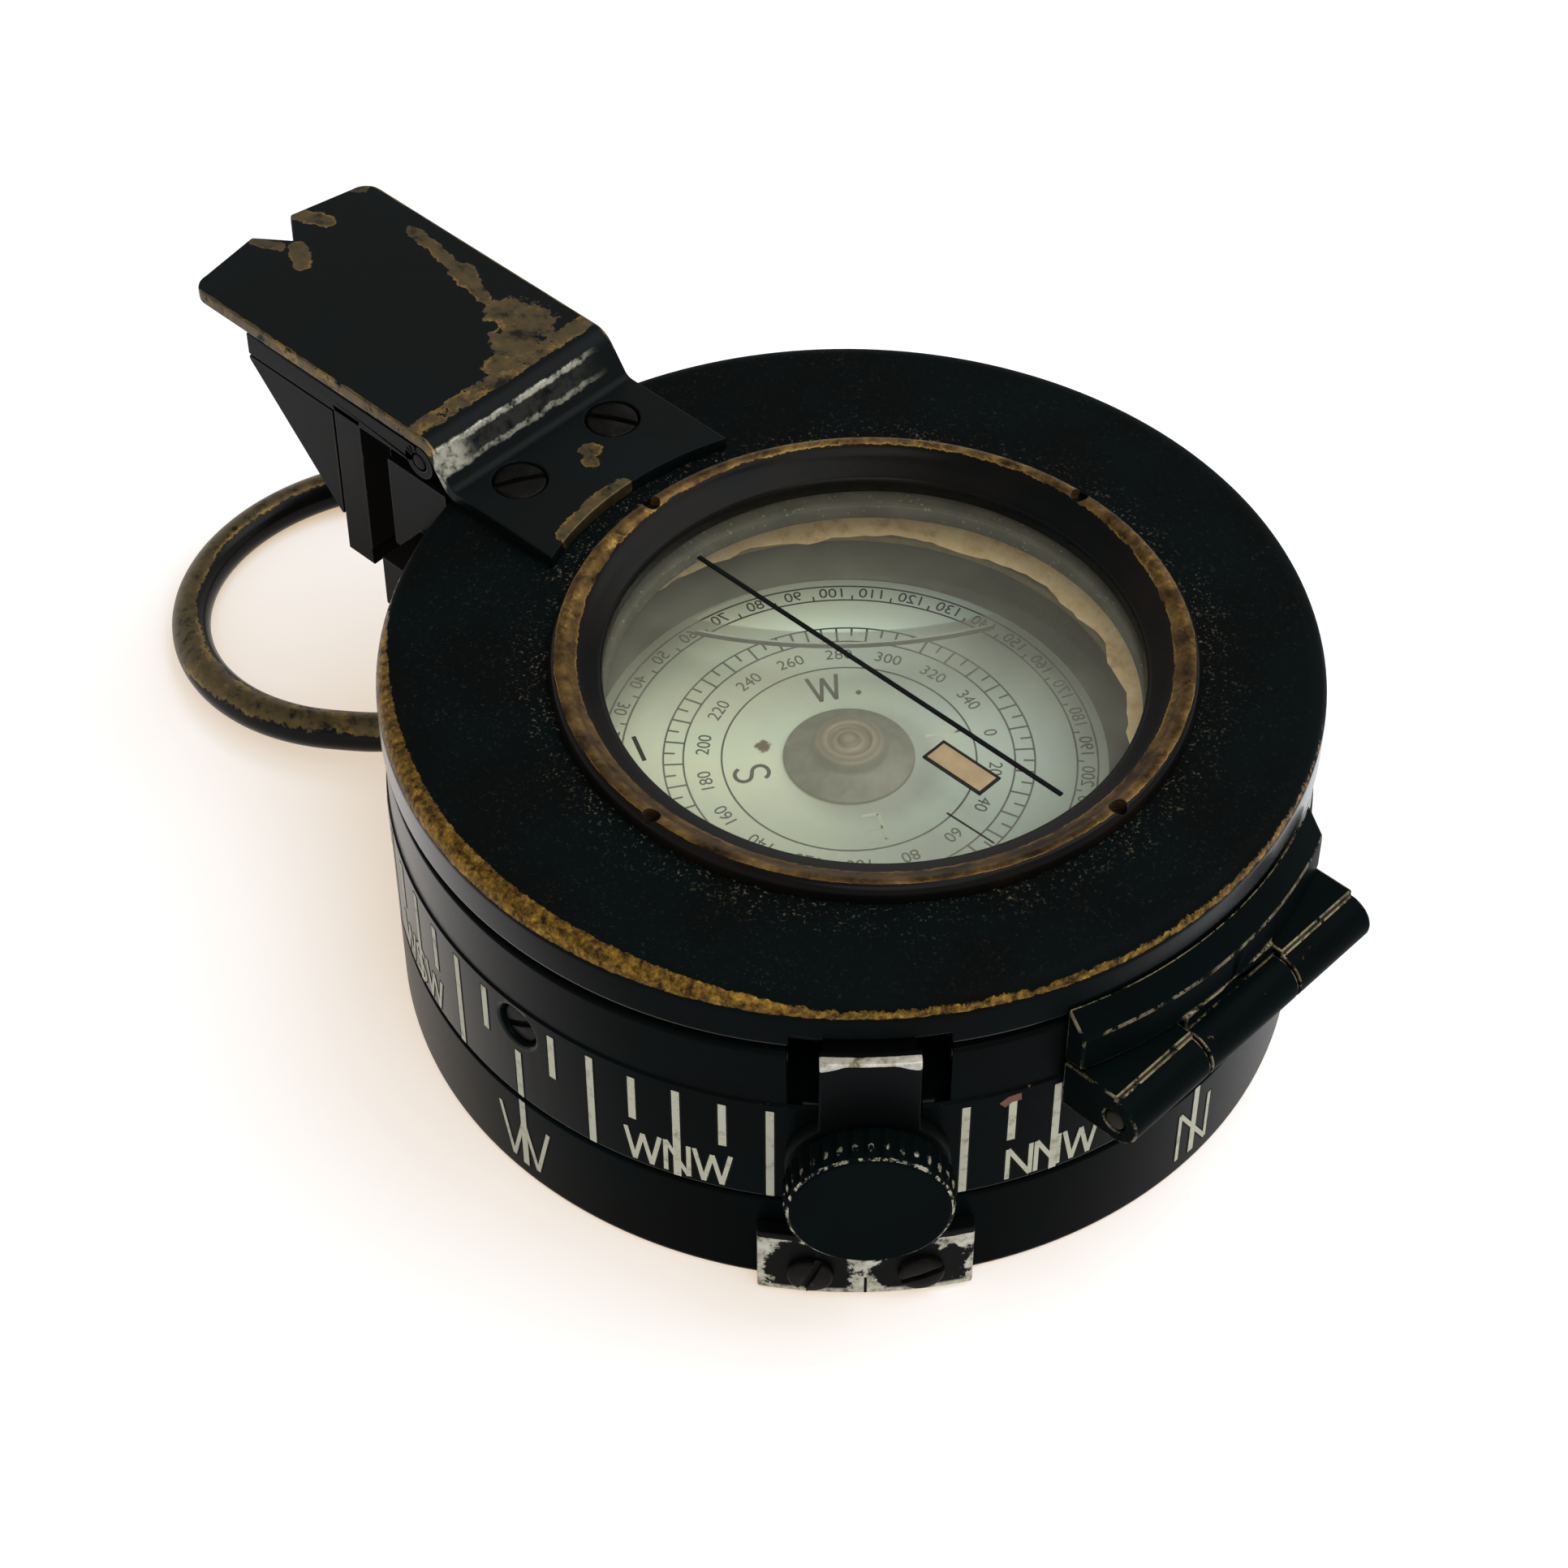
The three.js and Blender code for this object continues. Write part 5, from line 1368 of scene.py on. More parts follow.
def make_bowl():
    cup = turned(
        [
            (0, bowl.z0),
            (LEDGE_BORE - CLEAR, bowl.z0),
            (LEDGE_BORE - CLEAR, LEDGE_LEVEL),
            (bowl.x1, LEDGE_LEVEL),
            (bowl.x1, bowl.z1),
            (SEAL_BORE, bowl.z1),
            (SEAL_BORE, bowl.z0 + BOWL_FLOOR),
            (0, bowl.z0 + BOWL_FLOOR),
        ]
    )
    piece("liquid_bowl", cup, [bowl_grey], "case", "bowl", slot="grey_paint")
    gasket = hoop(SEAL_BORE, seal.x1, seal.z0, seal.z1, 0.15)
    piece("bowl_gasket", gasket, [tan], "case", "bowl_seal", slot="seal")
    glass = pane_disc(bowl_glass.x1, bowl_glass.z0, bowl_glass.z1)
    piece("bowl_cover_glass", glass, [bowl_pane], "case", "bowl_glass", slot="glass")
    make_bubble_edge()
    clamp_ring = turned(
        [
            (bowl_glass.x1 + CLEAR, bowl.z1),
            (bezel.x1, bowl.z1),
            (bezel.x1, bezel.z1),
            (GLASS_BORE, bezel.z1),
            (GLASS_BORE, bowl_glass.z1),
            (bowl_glass.x1 + CLEAR, bowl_glass.z1),
        ]
    )
    piece("bowl_clamp_ring", clamp_ring, [olive], "case", "bowl_bezel", slot="brass")
    make_fillet()


def make_fillet():
    """Tan sealing over the edge of the bowl's glass, with a wavy inner edge."""
    low = bowl_glass.z1
    section = [(FILLET_BORE, low), (GLASS_BORE, low), (GLASS_BORE, low + FILLET_FOOT), FILLET_CREST]
    fillet = turned(section, 0.1)
    for vert in fillet.verts:
        bearing = math.atan2(vert.co.y, vert.co.x)
        around = Vector((math.cos(bearing), math.sin(bearing), 0)) * FILLET_WAVES
        wave = noise.fractal(around, 0.6, 2.0, 4)
        inner = max(0, (GLASS_BORE - vert.co.xy.length) / (GLASS_BORE - FILLET_BORE))
        far = max(0, math.cos(bearing - FILLET_WIDEST))
        vert.co.xy *= 1 - inner * (FILLET_WAVE * wave + FILLET_SWELL * far - FILLET_SETBACK)
    piece("bowl_sealing_fillet", fillet, [tan], "case", slot="seal")


def make_bubble_edge():
    """Painted shade and painted highlight where the bubble meets the liquid: a dark line and a bright line on
    the glass.
    """

    def under_glass(across, up, height):
        return (across, up, bowl_glass.z0 - 0.1 + height)

    back = math.degrees(BUBBLE_BEARING) + 180
    apart = math.dist(BUBBLE_ARC_CENTRE, BUBBLE_ROUND_CENTRE)
    reach = (apart**2 + BUBBLE_ARC**2 - BUBBLE_ROUND**2) / (2 * apart * BUBBLE_ARC)
    half = math.degrees(math.acos(reach))
    # The dark line is painted shade, and the bright line is a painted highlight in the pale printing's finish
    for name, aside, width, finish in (("dark", 0.1, 0.34, bubble_edge_shade), ("bright", -0.18, 0.14, pale_print_and_highlight)):
        line = bmesh.new()
        path = arc(BUBBLE_ARC_CENTRE, BUBBLE_ARC + aside, back - half, back + half, 60)
        stroke(line, path, width, under_glass, 0, GLASS_LINE)
        piece(f"liquid_bubble_{name}_edge", line, [finish], "case")


def make_card():
    sheet = hoop(CARD_BORE, CARD_RADIUS, card.z0, card.z1, 0.05)
    piece("compass_card_disc", sheet, [paper], "compass_card", "card", slot="card")


def make_card_cap():
    """Domed cap with a flange on the card and a cup under it for the pivot."""
    low = card_cap.z0
    high = card_cap.z1
    dome = turned(
        [
            (0, low + CAP_CUP_DEPTH),
            (CAP_CUP, low + CAP_CUP_DEPTH),
            (CAP_CUP, low),
            (CAP_HUB, low),
            (CAP_HUB, card.z1),
            (CAP_FLANGE, card.z1, 0.05),
            (CAP_FLANGE, card.z1 + CAP_FLANGE_THICKNESS, 0.1),
            (2.5, card.z1 + 0.9, 0.2),
            (2.2, high + 0.7, 0.15),
            (1.5, high + 0.8, 0.1),
            (1.35, high + 0.55, 0.1),
            (0.8, high + 0.6, 0.1),
            (0.6, high + 0.85, 0.1),
            (0, high + 0.85),
        ],
        segments=CAP_FACETS,
    )
    piece("compass_card_cap", dome, [cap_finish], "compass_card", "card_cap", slot="grey_paint")


def on_card(across, up, height):
    return (across, up, card.z1 + height)


def card_way(heading):
    """Direction on the card, as it lies at rest, of a heading printed on it."""
    turn = math.radians(CARD_HEADING - heading)
    return Vector((math.cos(turn), math.sin(turn)))


def card_number(value, heading, radius, mirrored=False):
    """Number on the card with its top outwards."""
    made = printed(str(value), CARD_NUMBER, mirrored)
    turn = Matrix.Rotation(math.radians(CARD_HEADING - heading - 90), 4, "Z")
    made.transform(turn @ Matrix.Translation((0, radius, card.z1 + PRINT_HEIGHT / 2)))
    return made


def make_card_printing():
    """Rings, divisions, degrees and main points. The outer degrees are mirrored, for the prism."""
    lines = bmesh.new()
    pale_lines = bmesh.new()

    def line(points, width, layer=lines, closed=False):
        stroke(layer, points, width, on_card, 0, PRINT_HEIGHT, 3, closed)

    for radius in CARD_LINES:
        line(arc((0, 0), radius, 0, 360, 180)[:-1], CARD_LINE, closed=True)
    for heading in range(0, 360, 5):
        low = CARD_SCALE[0] if heading % 10 == 0 else CARD_SCALE[1] - CARD_TICK
        line([card_way(heading) * low, card_way(heading) * CARD_SCALE[1]], CARD_TICK_LINE)
    for heading in range(5, 360, 10):
        low = CARD_LINES[1]
        line([card_way(heading) * low, card_way(heading) * (low + OUTER_TICK)], CARD_LINE)
    numbers = [card_number(value, value, INNER_NUMBER_RADIUS) for value in range(0, 360, 20)]
    numbers += [card_number(value, value + 180, OUTER_NUMBER_RADIUS, True) for value in range(0, 360, 10)]
    for i, letter in enumerate("NESW"):
        out = card_way(90 * i)
        side = Vector((out.y, -out.x))
        foot = CARD_LETTER_RADIUS - CARD_LETTER / 2
        for points in letter_strokes(letter, CARD_LETTER, 1.1):
            path = [side * x + out * (foot + y) for x, y in points]
            line(path, CARD_LETTER_LINE, pale_lines if letter in "NE" else lines)
    piece("compass_card_pale_letters", pale_lines, [pale_print_and_highlight], "compass_card")
    line(arc(CARD_DOT, 0.1, 0, 360, 8)[:-1], 0.2, closed=True)
    piece("compass_card_printing", merged(lines, *numbers), [ink], "compass_card")


def make_direction_ring():
    seat = turning_glass.x1 + CLEAR
    ring = turned(
        [
            (GLASS_BORE, turning_ring.z0),
            (turning_ring.x1, turning_ring.z0),
            (turning_ring.x1, turning_ring.z1),
            (seat, turning_ring.z1),
            (seat, turning_glass.z0),
            (GLASS_BORE, turning_glass.z0),
        ]
    )
    for face in ring.faces:
        face.material_index = 1 if face.calc_center_median().xy.length < seat + CLEAR else 0
    finishes = [inner_enamel, olive]
    piece("turning_direction_ring", ring, finishes, "direction", "direction_ring", slot="black_paint")
    glass = pane_disc(turning_glass.x1, turning_glass.z0, turning_glass.z1)
    piece("turning_direction_glass", glass, [turning_pane], "direction", "direction_glass", slot="glass")


def make_direction_lines():
    """Edge of the luminous mark, and two lines on the turning glass."""
    lines = bmesh.new()

    def line(points, width, height=GLASS_LINE):
        stroke(lines, points, width, lambda x, y, z: (x, y, turning_glass.z1 + z), 0, height, 9)

    corners = [(mark.x0, mark.y0), (mark.x1, mark.y0), (mark.x1, mark.y1), (mark.x0, mark.y1)]
    for start, end in zip(corners, corners[1:] + corners[:1]):
        along = (Vector(end) - Vector(start)).normalized() * MARK_EDGE / 2
        line([Vector(start) - along, Vector(end) + along], MARK_EDGE, mark.z1 - mark.z0 + 0.02)
    line(DIRECTION_LINE, DIRECTION_LINE_WIDTH)
    line(GLASS_DASH, GLASS_DASH_WIDTH)
    piece("turning_glass_lines", lines, [line_black], "direction")


# Lid


def make_lid():
    plate = turned(
        [
            (0, lid.z0 + LID_RECESS),
            (LID_RECESS_RADIUS, lid.z0 + LID_RECESS),
            (LID_RECESS_RADIUS, lid.z0),
            (CASE_RADIUS, lid.z0, 0.3),
            (CASE_RADIUS, lid.z1 - LID_EDGE, 0.35),
            (CASE_RADIUS - 0.3 * LID_EDGE, lid.z1 - 0.3 * LID_EDGE, 0.35),
            (CASE_RADIUS - LID_EDGE, lid.z1, 0.35),
            (0, lid.z1),
        ]
    )
    sight = disc(WINDOW_RADIUS, lid.z0 - PAST, lid.z1 + PAST, middle=WINDOW_MIDDLE)
    seat = disc(GLASS_SEAT_RADIUS, lid_glass.z0, lid.z1 + PAST, middle=WINDOW_MIDDLE)
    room = lid.z0 + CLAMP_RELIEF
    relief = block(LID_RECESS_RADIUS - PAST, CASE_RADIUS + PAST, NOTCH_WIDTH, lid.z0 - PAST, room)
    made = soften(cut(plate, sight, seat, at_clamp(relief)), 0.12, 40, flat=False)
    for face in made.faces:
        middle = face.calc_center_median()
        from_window = math.hypot(middle.x - WINDOW_X, middle.y)
        if from_window < GLASS_SEAT_RADIUS + 0.05 and middle.z < lid.z1 - 0.3:
            face.material_index = 2
        elif middle.xy.length > CASE_RADIUS - 0.05 and middle.z < lid.z1 - LID_EDGE:
            face.material_index = 3
    finishes = [lid_enamel, inner_enamel, olive, side_enamel]
    piece("lid_plate", made, finishes, "lid", "lid_ring", slot="black_paint")


def make_window():
    inner = WINDOW_RADIUS - 0.05
    outer = WINDOW_RADIUS + SKIRT_WALL
    under = lid.z0 + LID_RECESS
    collar = turned(
        [
            (inner, under - SKIRT_DEPTH),
            (outer, under - SKIRT_DEPTH),
            (outer, under + 0.1),
            (WINDOW_RADIUS + 0.1, lid_glass.z0 - 0.02),
            (inner, lid_glass.z0 - 0.02),
        ],
        middle=WINDOW_MIDDLE,
    )
    piece("lid_window_collar", collar, [olive], "lid", slot="black_paint")
    glass = pane_disc(lid_glass.x1 - WINDOW_X, lid_glass.z0, lid_glass.z1, WINDOW_MIDDLE)
    piece("lid_window_glass", glass, [window_pane], "lid", "lid_glass", slot="glass")


def make_window_ring():
    """Raised bead round the window, with four spanner holes."""
    bead = turned(
        [
            (WINDOW_RADIUS, lid_glass.z1, 0.1),
            (GLASS_SEAT_RADIUS - CLEAR, lid_glass.z1),
            (GLASS_SEAT_RADIUS - CLEAR, lid.z1),
            (BEAD_RADIUS, lid.z1, 0.1),
            (BEAD_RADIUS, lid.z1 + 0.6, 0.35),
            (BEAD_RADIUS - 0.35, window.z1, 0.35),
            (BEAD_RADIUS - 1.1, window.z1, 0.4),
            (WINDOW_RADIUS + 1.6, lid.z1 + 0.5, 0.6),
            (WINDOW_RADIUS, lid.z1, 0.4),
        ],
        middle=WINDOW_MIDDLE,
    )
    holes = []
    for bearing in (0, 90, 180, 270):
        turn = math.radians(bearing)
        x = WINDOW_X + BEAD_HOLE_PITCH * math.cos(turn)
        y = BEAD_HOLE_PITCH * math.sin(turn)
        hole = disc(BEAD_HOLE_RADIUS, -BEAD_HOLE_DEPTH, PAST, segments=HOLE_FACETS)
        holes.append(moved(hole, (x, y, window.z1)))
    made = soften(cut(bead, *holes), 0.06, 40, flat=False)
    piece("lid_window_ring", made, [bead_enamel, edge_enamel], "lid", "window_ring", slot="black_paint")


def tongue_profile():
    """Side of the tongue: flange on the lid, two equal bends and the plate over the prism."""
    bend_rise = TONGUE_RADIUS * (1 - math.cos(TONGUE_ANGLE))
    slope = (TONGUE_RISE - 2 * bend_rise) / math.sin(TONGUE_ANGLE)
    half = TONGUE_THICKNESS / 2
    low = lid.z1 + half
    high = low + TONGUE_RISE
    far = TONGUE_BEND + 2 * TONGUE_RADIUS * math.sin(TONGUE_ANGLE) + slope * math.cos(TONGUE_ANGLE)
    steps = 10
    turns = [TONGUE_ANGLE * i / steps for i in range(steps + 1)]
    line = [(0, low, 0)]
    for a in turns:
        line.append((TONGUE_BEND + TONGUE_RADIUS * math.sin(a), low + TONGUE_RADIUS * (1 - math.cos(a)), a))
    for a in reversed(turns):
        line.append((far - TONGUE_RADIUS * math.sin(a), high - TONGUE_RADIUS * (1 - math.cos(a)), a))
    line.append((-tongue.x0 + PAST, high, 0))
    sides = []
    for side in (1, -1):
        sides.append([(-(u - side * half * math.sin(a)), w + side * half * math.cos(a)) for u, w, a in line])
    return sides[0] + sides[1][::-1]


def tongue_plan():
    """Outline of the tongue from above, with its round corners and sighting notch."""
    side = tongue.x0 + TONGUE_BOW
    corner = arc((side + TONGUE_CORNER, TONGUE_HALF - TONGUE_CORNER), TONGUE_CORNER, 90, 180, 8)
    upper = [(0, TONGUE_HALF), *corner, (tongue.x0, NOTCH_HALF), (tongue.x0 + NOTCH_DEPTH, 0)]
    lower = [(x, -y) for x, y in reversed(upper[:-1])]
    return upper + lower


def make_tongue():
    low = lid.z1 - PAST
    bent = side_plate(tongue_profile(), -TONGUE_HALF - PAST, TONGUE_HALF + PAST)
    plan = carried(tongue_plan(), low, tongue.z1 + PAST, lambda x, y, z: (x, y, z))
    top = lid.z1 + TONGUE_THICKNESS
    clear = disc(BEAD_RADIUS + TONGUE_WINDOW_GAP, low, top + PAST, middle=WINDOW_MIDDLE)
    holes = []
    for side in SIDES:
        middle = (TONGUE_SCREW_X, side * TONGUE_SCREW_Y)
        holes.append(disc(TONGUE_SCREW.head + CLEAR, low, top + PAST, 0, FINE, middle))
    made = soften(cut(common(bent, plan), clear, *holes), 0.16, 36)
    piece("lid_sight_tongue", made, [tongue_enamel, tongue_enamel], "lid", "lid_tongue", slot="black_paint")

    def on_flange(made, side):
        return moved(made, (TONGUE_SCREW_X, side * TONGUE_SCREW_Y, top + TONGUE_PROUD))

    screws("lid_tongue_screw", "tongue_screw", "lid", TONGUE_SCREW, TONGUE_SLOTS, on_flange)


# Hinge of the lid


def hinge_bore():
    return pin_y(HINGE_PIN + CLEAR, HINGE_HALF + PAST, HINGE_X, HINGE_Z)


def make_hinge_block():
    low = HINGE_Z - HINGE_RADIUS
    high = hinge.z1
    gap = HINGE_MIDDLE + RUN
    back = common(
        hoop(SIDE_RADIUS, SIDE_RADIUS + HINGE_BACK, low, high),
        block(INSIDE, HINGE_X + 2 * PAST, HINGE_HALF, low - PAST, high + PAST),
    )
    ends = []
    for y0, y1 in both_sides(gap, HINGE_HALF):
        end = join(slab(INSIDE, HINGE_X, y0, y1, low, high), rod_y(HINGE_RADIUS, y0, y1, HINGE_X, HINGE_Z))
        ends.append(cut(end, case_round(low - PAST, high + PAST)))
    room = pin_y(HINGE_RADIUS + RUN, gap, HINGE_X, HINGE_Z)
    back_room = block(INSIDE, HINGE_X, gap, HINGE_Z - HINGE_RADIUS / 2, HINGE_Z + HINGE_RADIUS / 2)
    made = soften(cut(join(back, *ends), room, back_room, hinge_bore()))
    piece("lid_hinge_block", made, HINGE, "case", "hinge_block", slot="black_paint")
    pin = pin_y(HINGE_PIN, HINGE_HALF, HINGE_X, HINGE_Z, 0.2)
    piece("lid_hinge_pin", pin, [aged_brass], "case", "hinge_pin", slot="brass")


def make_hinge_leaf():
    out = SIDE_RADIUS + LEAF_THICKNESS
    section = turned([(SIDE_RADIUS, LEAF_LOW), (out, LEAF_LOW), (out, LEAF_EDGE), (SIDE_RADIUS, LEAF_TOP)], 0)
    leaf = common(section, block(INSIDE, HINGE_X + 2 * PAST, HINGE_HALF, HINGE_Z - HINGE_RADIUS, lid.z1))
    strap = block(out - STRAP, out, HINGE_MIDDLE, HINGE_Z, LEAF_LOW + 0.3)
    knuckle = pin_y(HINGE_RADIUS, HINGE_MIDDLE, HINGE_X, HINGE_Z)
    made = soften(cut(join(leaf, strap, knuckle), hinge_bore()))
    piece("lid_hinge_bar", made, HINGE, "lid", "lid_hinge_leaf", slot="black_paint")


# Prism


def prism_bore():
    return pin_y(PRISM_PIN + CLEAR, PRISM_HALF + PAST, PRISM_X, PRISM_Z)


def make_bracket():
    toe = BRACKET_LOW + BRACKET_TOE
    cheek = [
        (-INSIDE, BRACKET_TOP),
        (-INSIDE, toe),
        (PRISM_X, toe),
        (PRISM_X - BRACKET_TOE, BRACKET_LOW),
        (bracket.x0, BRACKET_LOW),
        (bracket.x0, BRACKET_TOP),
    ]
    pad = block(BRACKET_PAD_X, -INSIDE, PRISM_HALF, BRACKET_LOW, BRACKET_TOP)
    foot = block(BRACKET_PAD_X, -INSIDE, BRACKET_BASE_HALF, bracket.z0, BRACKET_BASE_TOP)
    web = block(PRISM_X - BARREL / 2, -INSIDE, PRISM_MIDDLE, BRACKET_TOP - PAST, PRISM_Z)
    cheeks = [side_plate(cheek, y0, y0 + BRACKET_CHEEK) for y0 in (-PRISM_HALF, PRISM_HALF - BRACKET_CHEEK)]
    body = cut(join(pad, foot, web, *cheeks), case_round(0, PRISM_Z))
    lid_room = disc(CASE_RADIUS - LID_EDGE, 0, PRISM_Z + BARREL + PAST)
    barrel = cut(pin_y(BARREL, PRISM_MIDDLE, PRISM_X, PRISM_Z), lid_room)
    made = soften(cut(join(body, barrel), prism_bore()), 0.1)
    piece("prism_bracket_block", made, FITTING, "case", "prism_bracket", slot="black_paint")
    pin = pin_y(PRISM_PIN, PRISM_HALF, PRISM_X, PRISM_Z, 0.15)
    piece("prism_hinge_pin", pin, [fitting_enamel], "case", "prism_pin", slot="steel")

    def in_pad(made, side):
        start = (BRACKET_PAD_X - BRACKET_SCREW.thickness, side * BRACKET_SCREW_Y, BRACKET_SCREW_LEVEL)
        return aligned(made, start, (-1, 0, 0))

    screws("prism_bracket_screw", "bracket_screw", "case", BRACKET_SCREW, BRACKET_SLOTS, in_pad)


def make_prism_arm():
    middle = PRISM_MIDDLE + RUN
    top = PRISM_Z + BARREL
    plate = block(arm.x0, PRISM_X, PRISM_HALF, ARM_BOTTOM, top)
    parts = [rod_y(BARREL, y0, y1, PRISM_X, PRISM_Z) for y0, y1 in both_sides(middle, PRISM_HALF)]
    for y0, y1 in both_sides(PRISM_HALF - RAIL_WIDTH, PRISM_HALF):
        parts.append(slab(RAIL_OUT, RAIL_IN, y0, y1, RAIL_LOW, PRISM_Z))
    parts.append(block(RAIL_OUT, RAIL_IN, PRISM_HALF, RAIL_LOW, RAIL_LOW + RAIL_FOOT))
    tools = [
        block(*ARM_WINDOW, ARM_WINDOW_HALF, ARM_BOTTOM - PAST, top + PAST),
        block(PRISM_X - ARM_SLOT, PRISM_X + BARREL + PAST, middle, PRISM_Z - BARREL - PAST, top + PAST),
        prism_bore(),
    ]
    for y0, y1 in both_sides(*GROOVE):
        tools.append(slab(RAIL_OUT - PAST, RAIL_OUT + GROOVE_DEPTH, y0, y1, RAIL_LOW - PAST, ARM_BOTTOM))
    made = soften(cut(join(plate, *parts), *tools), 0.1)
    piece("prism_slide_arm", made, FITTING, "prism_carrier", "prism_arm", slot="black_paint")


def make_prism_housing():
    low = housing.z0
    high = housing.z1
    lip = high - HOUSING_LIP
    outer = [(HOUSING_IN, low), (HOUSING_IN, high), (housing.x0, high), (housing.x0, lip), (HOUSING_TOE, low)]
    wall = housing.x0 + HOUSING_WALL
    front = HOUSING_IN + PAST
    cavity = [(front, low - 0.1), (front, high + PAST), (wall, high + PAST), (wall, lip)]
    inner = PRISM_HALF - HOUSING_CHEEK
    body = cut(side_plate(outer, -PRISM_HALF, PRISM_HALF), side_plate(cavity, -inner, inner))
    tabs = []
    for y0, y1 in both_sides(*GROOVE):
        end = RAIL_OUT + GROOVE_DEPTH - RUN
        tabs.append(slab(HOUSING_IN - PAST, end, y0 + RUN, y1 - RUN, low + RAIL_FOOT, high))
    made = soften(join(body, *tabs), 0.12)
    piece("prism_case", made, FITTING, "prism_slide", "prism_housing", slot="black_paint")


# Thumb ring


def bezier(points, t):
    while len(points) > 1:
        points = [a.lerp(b, t) for a, b in zip(points, points[1:])]
    return points[0]


def ring_path():
    """Middle of the wire in its own plane, from pin to pin."""
    centre = RING_REACH - RING_BOW
    end = Vector((centre + RING_BOW * math.cos(RING_BOW_ANGLE), RING_BOW * math.sin(RING_BOW_ANGLE)))
    leg = end + Vector((-math.sin(RING_BOW_ANGLE), math.cos(RING_BOW_ANGLE))) * RING_LEG
    corner = RING_PIN_END + RING_CORNER
    upper = [Vector((0, RING_PIN_START)), Vector((0, (RING_PIN_START + RING_PIN_END) / 2))]
    bend = [Vector((0, RING_PIN_END)), Vector((0, corner)), leg, end]
    upper += [bezier(bend, i / BEND_STEPS) for i in range(BEND_STEPS)]
    bow = []
    for i in range(BOW_STEPS + 1):
        angle = RING_BOW_ANGLE * (1 - 2 * i / BOW_STEPS)
        bow.append(Vector((centre + RING_BOW * math.cos(angle), RING_BOW * math.sin(angle))))
    return upper + bow + [Vector((p.x, -p.y)) for p in reversed(upper)]


def make_thumb_ring():
    bm = bmesh.new()
    path = ring_path()
    turn = Matrix.Rotation(RING_TILT, 4, "Y")
    rings = []
    for k, here in enumerate(path):
        before = path[max(k - 1, 0)]
        after = path[min(k + 1, len(path) - 1)]
        along = (after - before).normalized()
        across = Vector((-along.y, along.x))
        ring = []
        for i in range(WIRE_FACETS):
            angle = 2 * math.pi * i / WIRE_FACETS
            flat = here + across * WIRE * math.cos(angle)
            point = Vector((-flat.x, flat.y, WIRE * math.sin(angle)))
            ring.append(bm.verts.new(turn @ point + Vector((LUG_X, RING_SIDE, LUG_Z))))
        rings.append(ring)
    skin(bm, rings, closed=False)
    bm.faces.new(rings[0])
    bm.faces.new(rings[-1])
    piece("thumb_ring_wire", bm, [ring_enamel], "ring", "thumb_ring", slot="black_paint")


def make_lug():
    low = LUG_Z - LUG_RADIUS
    high = LUG_Z + LUG_RADIUS
    body = join(block(LUG_X, -INSIDE, LUG_HALF, low, high), pin_y(LUG_RADIUS, LUG_HALF, LUG_X, LUG_Z))
    bore = pin_y(WIRE + CLEAR, LUG_HALF + PAST, LUG_X, LUG_Z)
    made = soften(cut(body, case_round(low - PAST, high + PAST), bore))
    piece("thumb_ring_lug_block", made, FITTING, "case", "thumb_ring_lug", slot="black_paint")


# Clamp


def make_clamp():
    low = CLAMP_FOOT[0]
    far = CLAMP_RADIUS + PAST

    def through(radius, segments=FINE):
        return rod(radius, (INSIDE, 0, KNOB_LEVEL), (far, 0, KNOB_LEVEL), 0, segments)

    sheet = hoop(SIDE_RADIUS, CLAMP_RADIUS, low, CLAMP_LIP_TOP)
    foot = block(INSIDE, far, CLAMP_FOOT_HALF, low - PAST, CLAMP_FOOT[1])
    lip = block(INSIDE, far, CLAMP_LIP_HALF, low - PAST, CLAMP_LIP_TOP + PAST)
    made = common(sheet, join(foot, lip, through(CLAMP_DISC, DISC_FACETS)))
    finger_half = CLAMP_LIP_HALF - CLAMP_FINGER_ROOM
    start = MOUTH_RADIUS + CLAMP_FINGER_ROOM
    finger = block(start, SIDE_RADIUS + 0.1, finger_half, CLAMP_FINGER_LOW, CLAMP_FINGER_TOP)
    made = at_clamp(soften(cut(join(made, finger), through(KNOB_SHANK + RUN)), 0.12))
    piece("clamp_spring_plate", made, [clamp_plating, clamp_plating], "case", "clamp_plate", slot="nickel")
    index = bmesh.new()
    path = [(0, low + 0.1), (0, INDEX_TOP)]
    stroke(index, path, INDEX_WIDTH, lambda x, z, height: (CLAMP_RADIUS + height, x, z))
    piece("clamp_index_line", at_clamp(index), [line_black], "case")

    def in_foot(made, side):
        bearing = CLAMP_BEARING + side * FOOT_SCREW_SPREAD
        return outwards(made, CLAMP_RADIUS + FOOT_SCREW.thickness, FOOT_SCREW_LEVEL, bearing)

    screws("clamp_plate_screw", "clamp_foot_screw", "case", FOOT_SCREW, FOOT_SLOTS, in_foot)


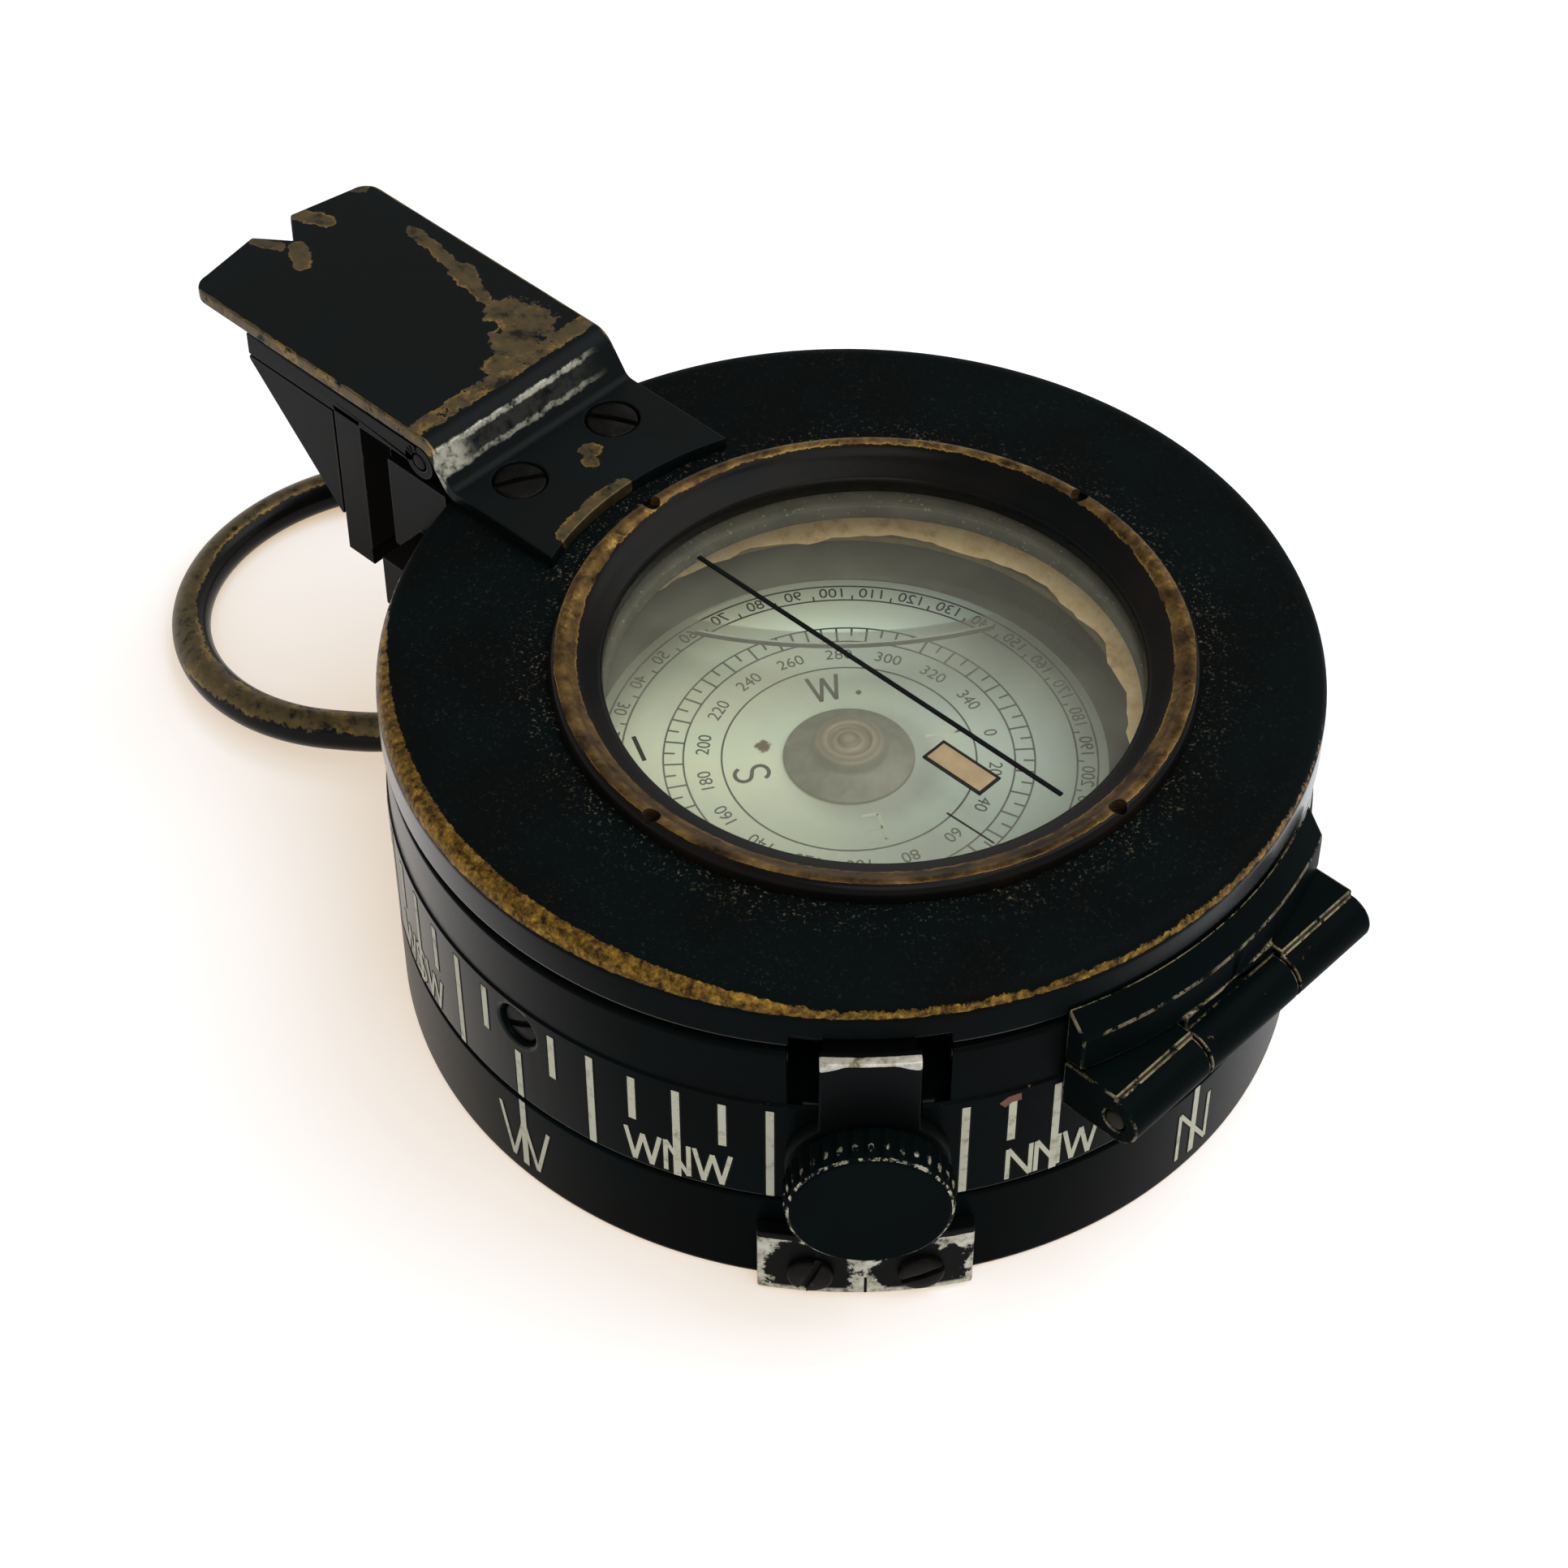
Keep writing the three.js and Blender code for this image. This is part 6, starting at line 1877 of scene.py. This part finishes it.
def make_knob():
    bm = bmesh.new()
    steps = TOOTH_FACETS * KNOB_TEETH
    rings = [[bm.verts.new((0, 0, 0))] * steps]
    for depth, tooth, inset in KNOB_RINGS:
        ring = []
        for k in range(steps):
            angle = 2 * math.pi * k / steps
            wave = 0.5 + 0.5 * math.cos(KNOB_TEETH * angle)
            radius = KNOB_RADIUS + inset - KNOB_TOOTH * tooth * wave
            ring.append(bm.verts.new((radius * math.cos(angle), radius * math.sin(angle), depth)))
        rings.append(ring)
    rings.append([bm.verts.new((0, 0, KNOB_DEPTH - KNOB_HOLLOW))] * steps)
    knob = skin(bm, rings, closed=False)
    shank = disc(KNOB_SHANK, KNOB_SHANK_END - KNOB_BACK, KNOB_SHANK_OVERLAP, 0.1, FINE)
    made = outwards(join(knob, shank), KNOB_BACK, KNOB_LEVEL, CLAMP_BEARING)
    piece("clamp_knurled_knob", made, [knob_enamel], "clamp", "clamp_screw", slot="black_paint")


make_case()
make_base()
make_engraving()
make_dab()
make_bowl()
make_card()
make_card_cap()
make_card_printing()
make_direction_ring()
make_direction_lines()
make_lid()
make_window()
make_window_ring()
make_tongue()
make_hinge_block()
make_hinge_leaf()
make_bracket()
make_prism_arm()
make_prism_housing()
make_thumb_ring()
make_lug()
make_clamp()
make_knob()

# Finishes of the solids that stay as they are
KEPT_FINISHES = {
    "base_plate": base_enamel,
    "base_gasket": rubber,
    "filler_plug": brass,
    "diaphragm": brass,
    "diaphragm_ring": brass,
    "pivot_post": brass,
    "card_jewel": jewel_red,
    "card_magnet_1": screw_steel,
    "card_magnet_2": screw_steel,
    "direction_mark": luminous,
    "hairline": line_black,
    "prism_glass": prism_pane,
}
for node, finish in KEPT_FINISHES.items():
    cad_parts[node].data.materials.clear()
    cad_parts[node].data.materials.append(finish)


# Table, light and camera


def make_table():
    """White table: its light and shadow near the compass, and plain white further off."""
    bm = bmesh.new()
    bmesh.ops.create_grid(bm, x_segments=1, y_segments=1, size=TABLE_SIZE)
    mesh = bpy.data.meshes.new("table")
    bm.to_mesh(mesh)
    bm.free()
    finish = Finish("white_table")
    diffuse = finish.lobe("BsdfDiffuse", TABLE)
    lit = finish.node("ShaderNodeAddShader", sockets={0: diffuse, 1: finish.lobe("Emission", TABLE_GLOW)})
    shown = finish.blend(finish.radius().rise(*TABLE_FADE), lit, finish.lobe("Emission", WHITE))
    mesh.materials.append(finish.done(finish.blend(camera_share(finish), diffuse, shown)))
    table = bpy.data.objects.new("table", mesh)
    bpy.context.scene.collection.objects.link(table)


def camera_share(finish):
    """1 for what the camera, metal and glass see, and 0 for light that falls on the object."""
    rays = ("Is Camera Ray", "Is Glossy Ray", "Is Transmission Ray")
    return highest(*[finish.node("ShaderNodeLightPath", output=ray) for ray in rays])


def make_world():
    bpy.context.scene.world = bpy.data.worlds.new("studio")
    studio = Finish(bpy.context.scene.world)
    way = studio.node("ShaderNodeTexCoord", output="Generated")
    up = studio.node("ShaderNodeSeparateXYZ", sockets={0: way}, output="Z")
    sky = studio.ramp(up, (0.25, WHITE), (0.45, (0.66, 0.65, 0.63)), (0.85, (0.38, 0.38, 0.39)))
    studio.done(studio.lobe("Background", sky), "ShaderNodeOutputWorld")


def make_light(name, lamp):
    data = bpy.data.lights.new(name, "AREA")
    data.shape = "DISK"
    data.size = lamp.size * MM
    data.energy = lamp.power
    data.color = lamp.color
    made = bpy.data.objects.new(name, data)
    made.location = Vector(lamp.place) * MM
    made.rotation_mode = "QUATERNION"
    made.rotation_quaternion = Vector(lamp.place).to_track_quat("Z", "Y")
    bpy.context.scene.collection.objects.link(made)


def make_camera():
    right = Vector((0, 0, 1)).cross(CAMERA_BACK).normalized()
    up = CAMERA_BACK.cross(right)
    place = CAMERA_BACK * CAMERA_DISTANCE + right * CAMERA_SIDE + up * CAMERA_RISE + CAMERA_AIM
    data = bpy.data.cameras.new("camera")
    data.sensor_width = SENSOR
    data.lens = SENSOR * FOCAL_PIXELS / IMAGE_SIZE
    data.clip_start = 0.01
    data.clip_end = 50
    camera = bpy.data.objects.new("camera", data)
    camera.location = place * MM
    camera.rotation_mode = "QUATERNION"
    camera.rotation_quaternion = CAMERA_BACK.to_track_quat("Z", "Y")
    bpy.context.scene.collection.objects.link(camera)
    bpy.context.scene.camera = camera


make_table()
make_world()
make_light("window_light", WINDOW_LIGHT)
make_light("side_light", SIDE_LIGHT)
make_camera()
bpy.context.scene.view_settings.view_transform = "Standard"
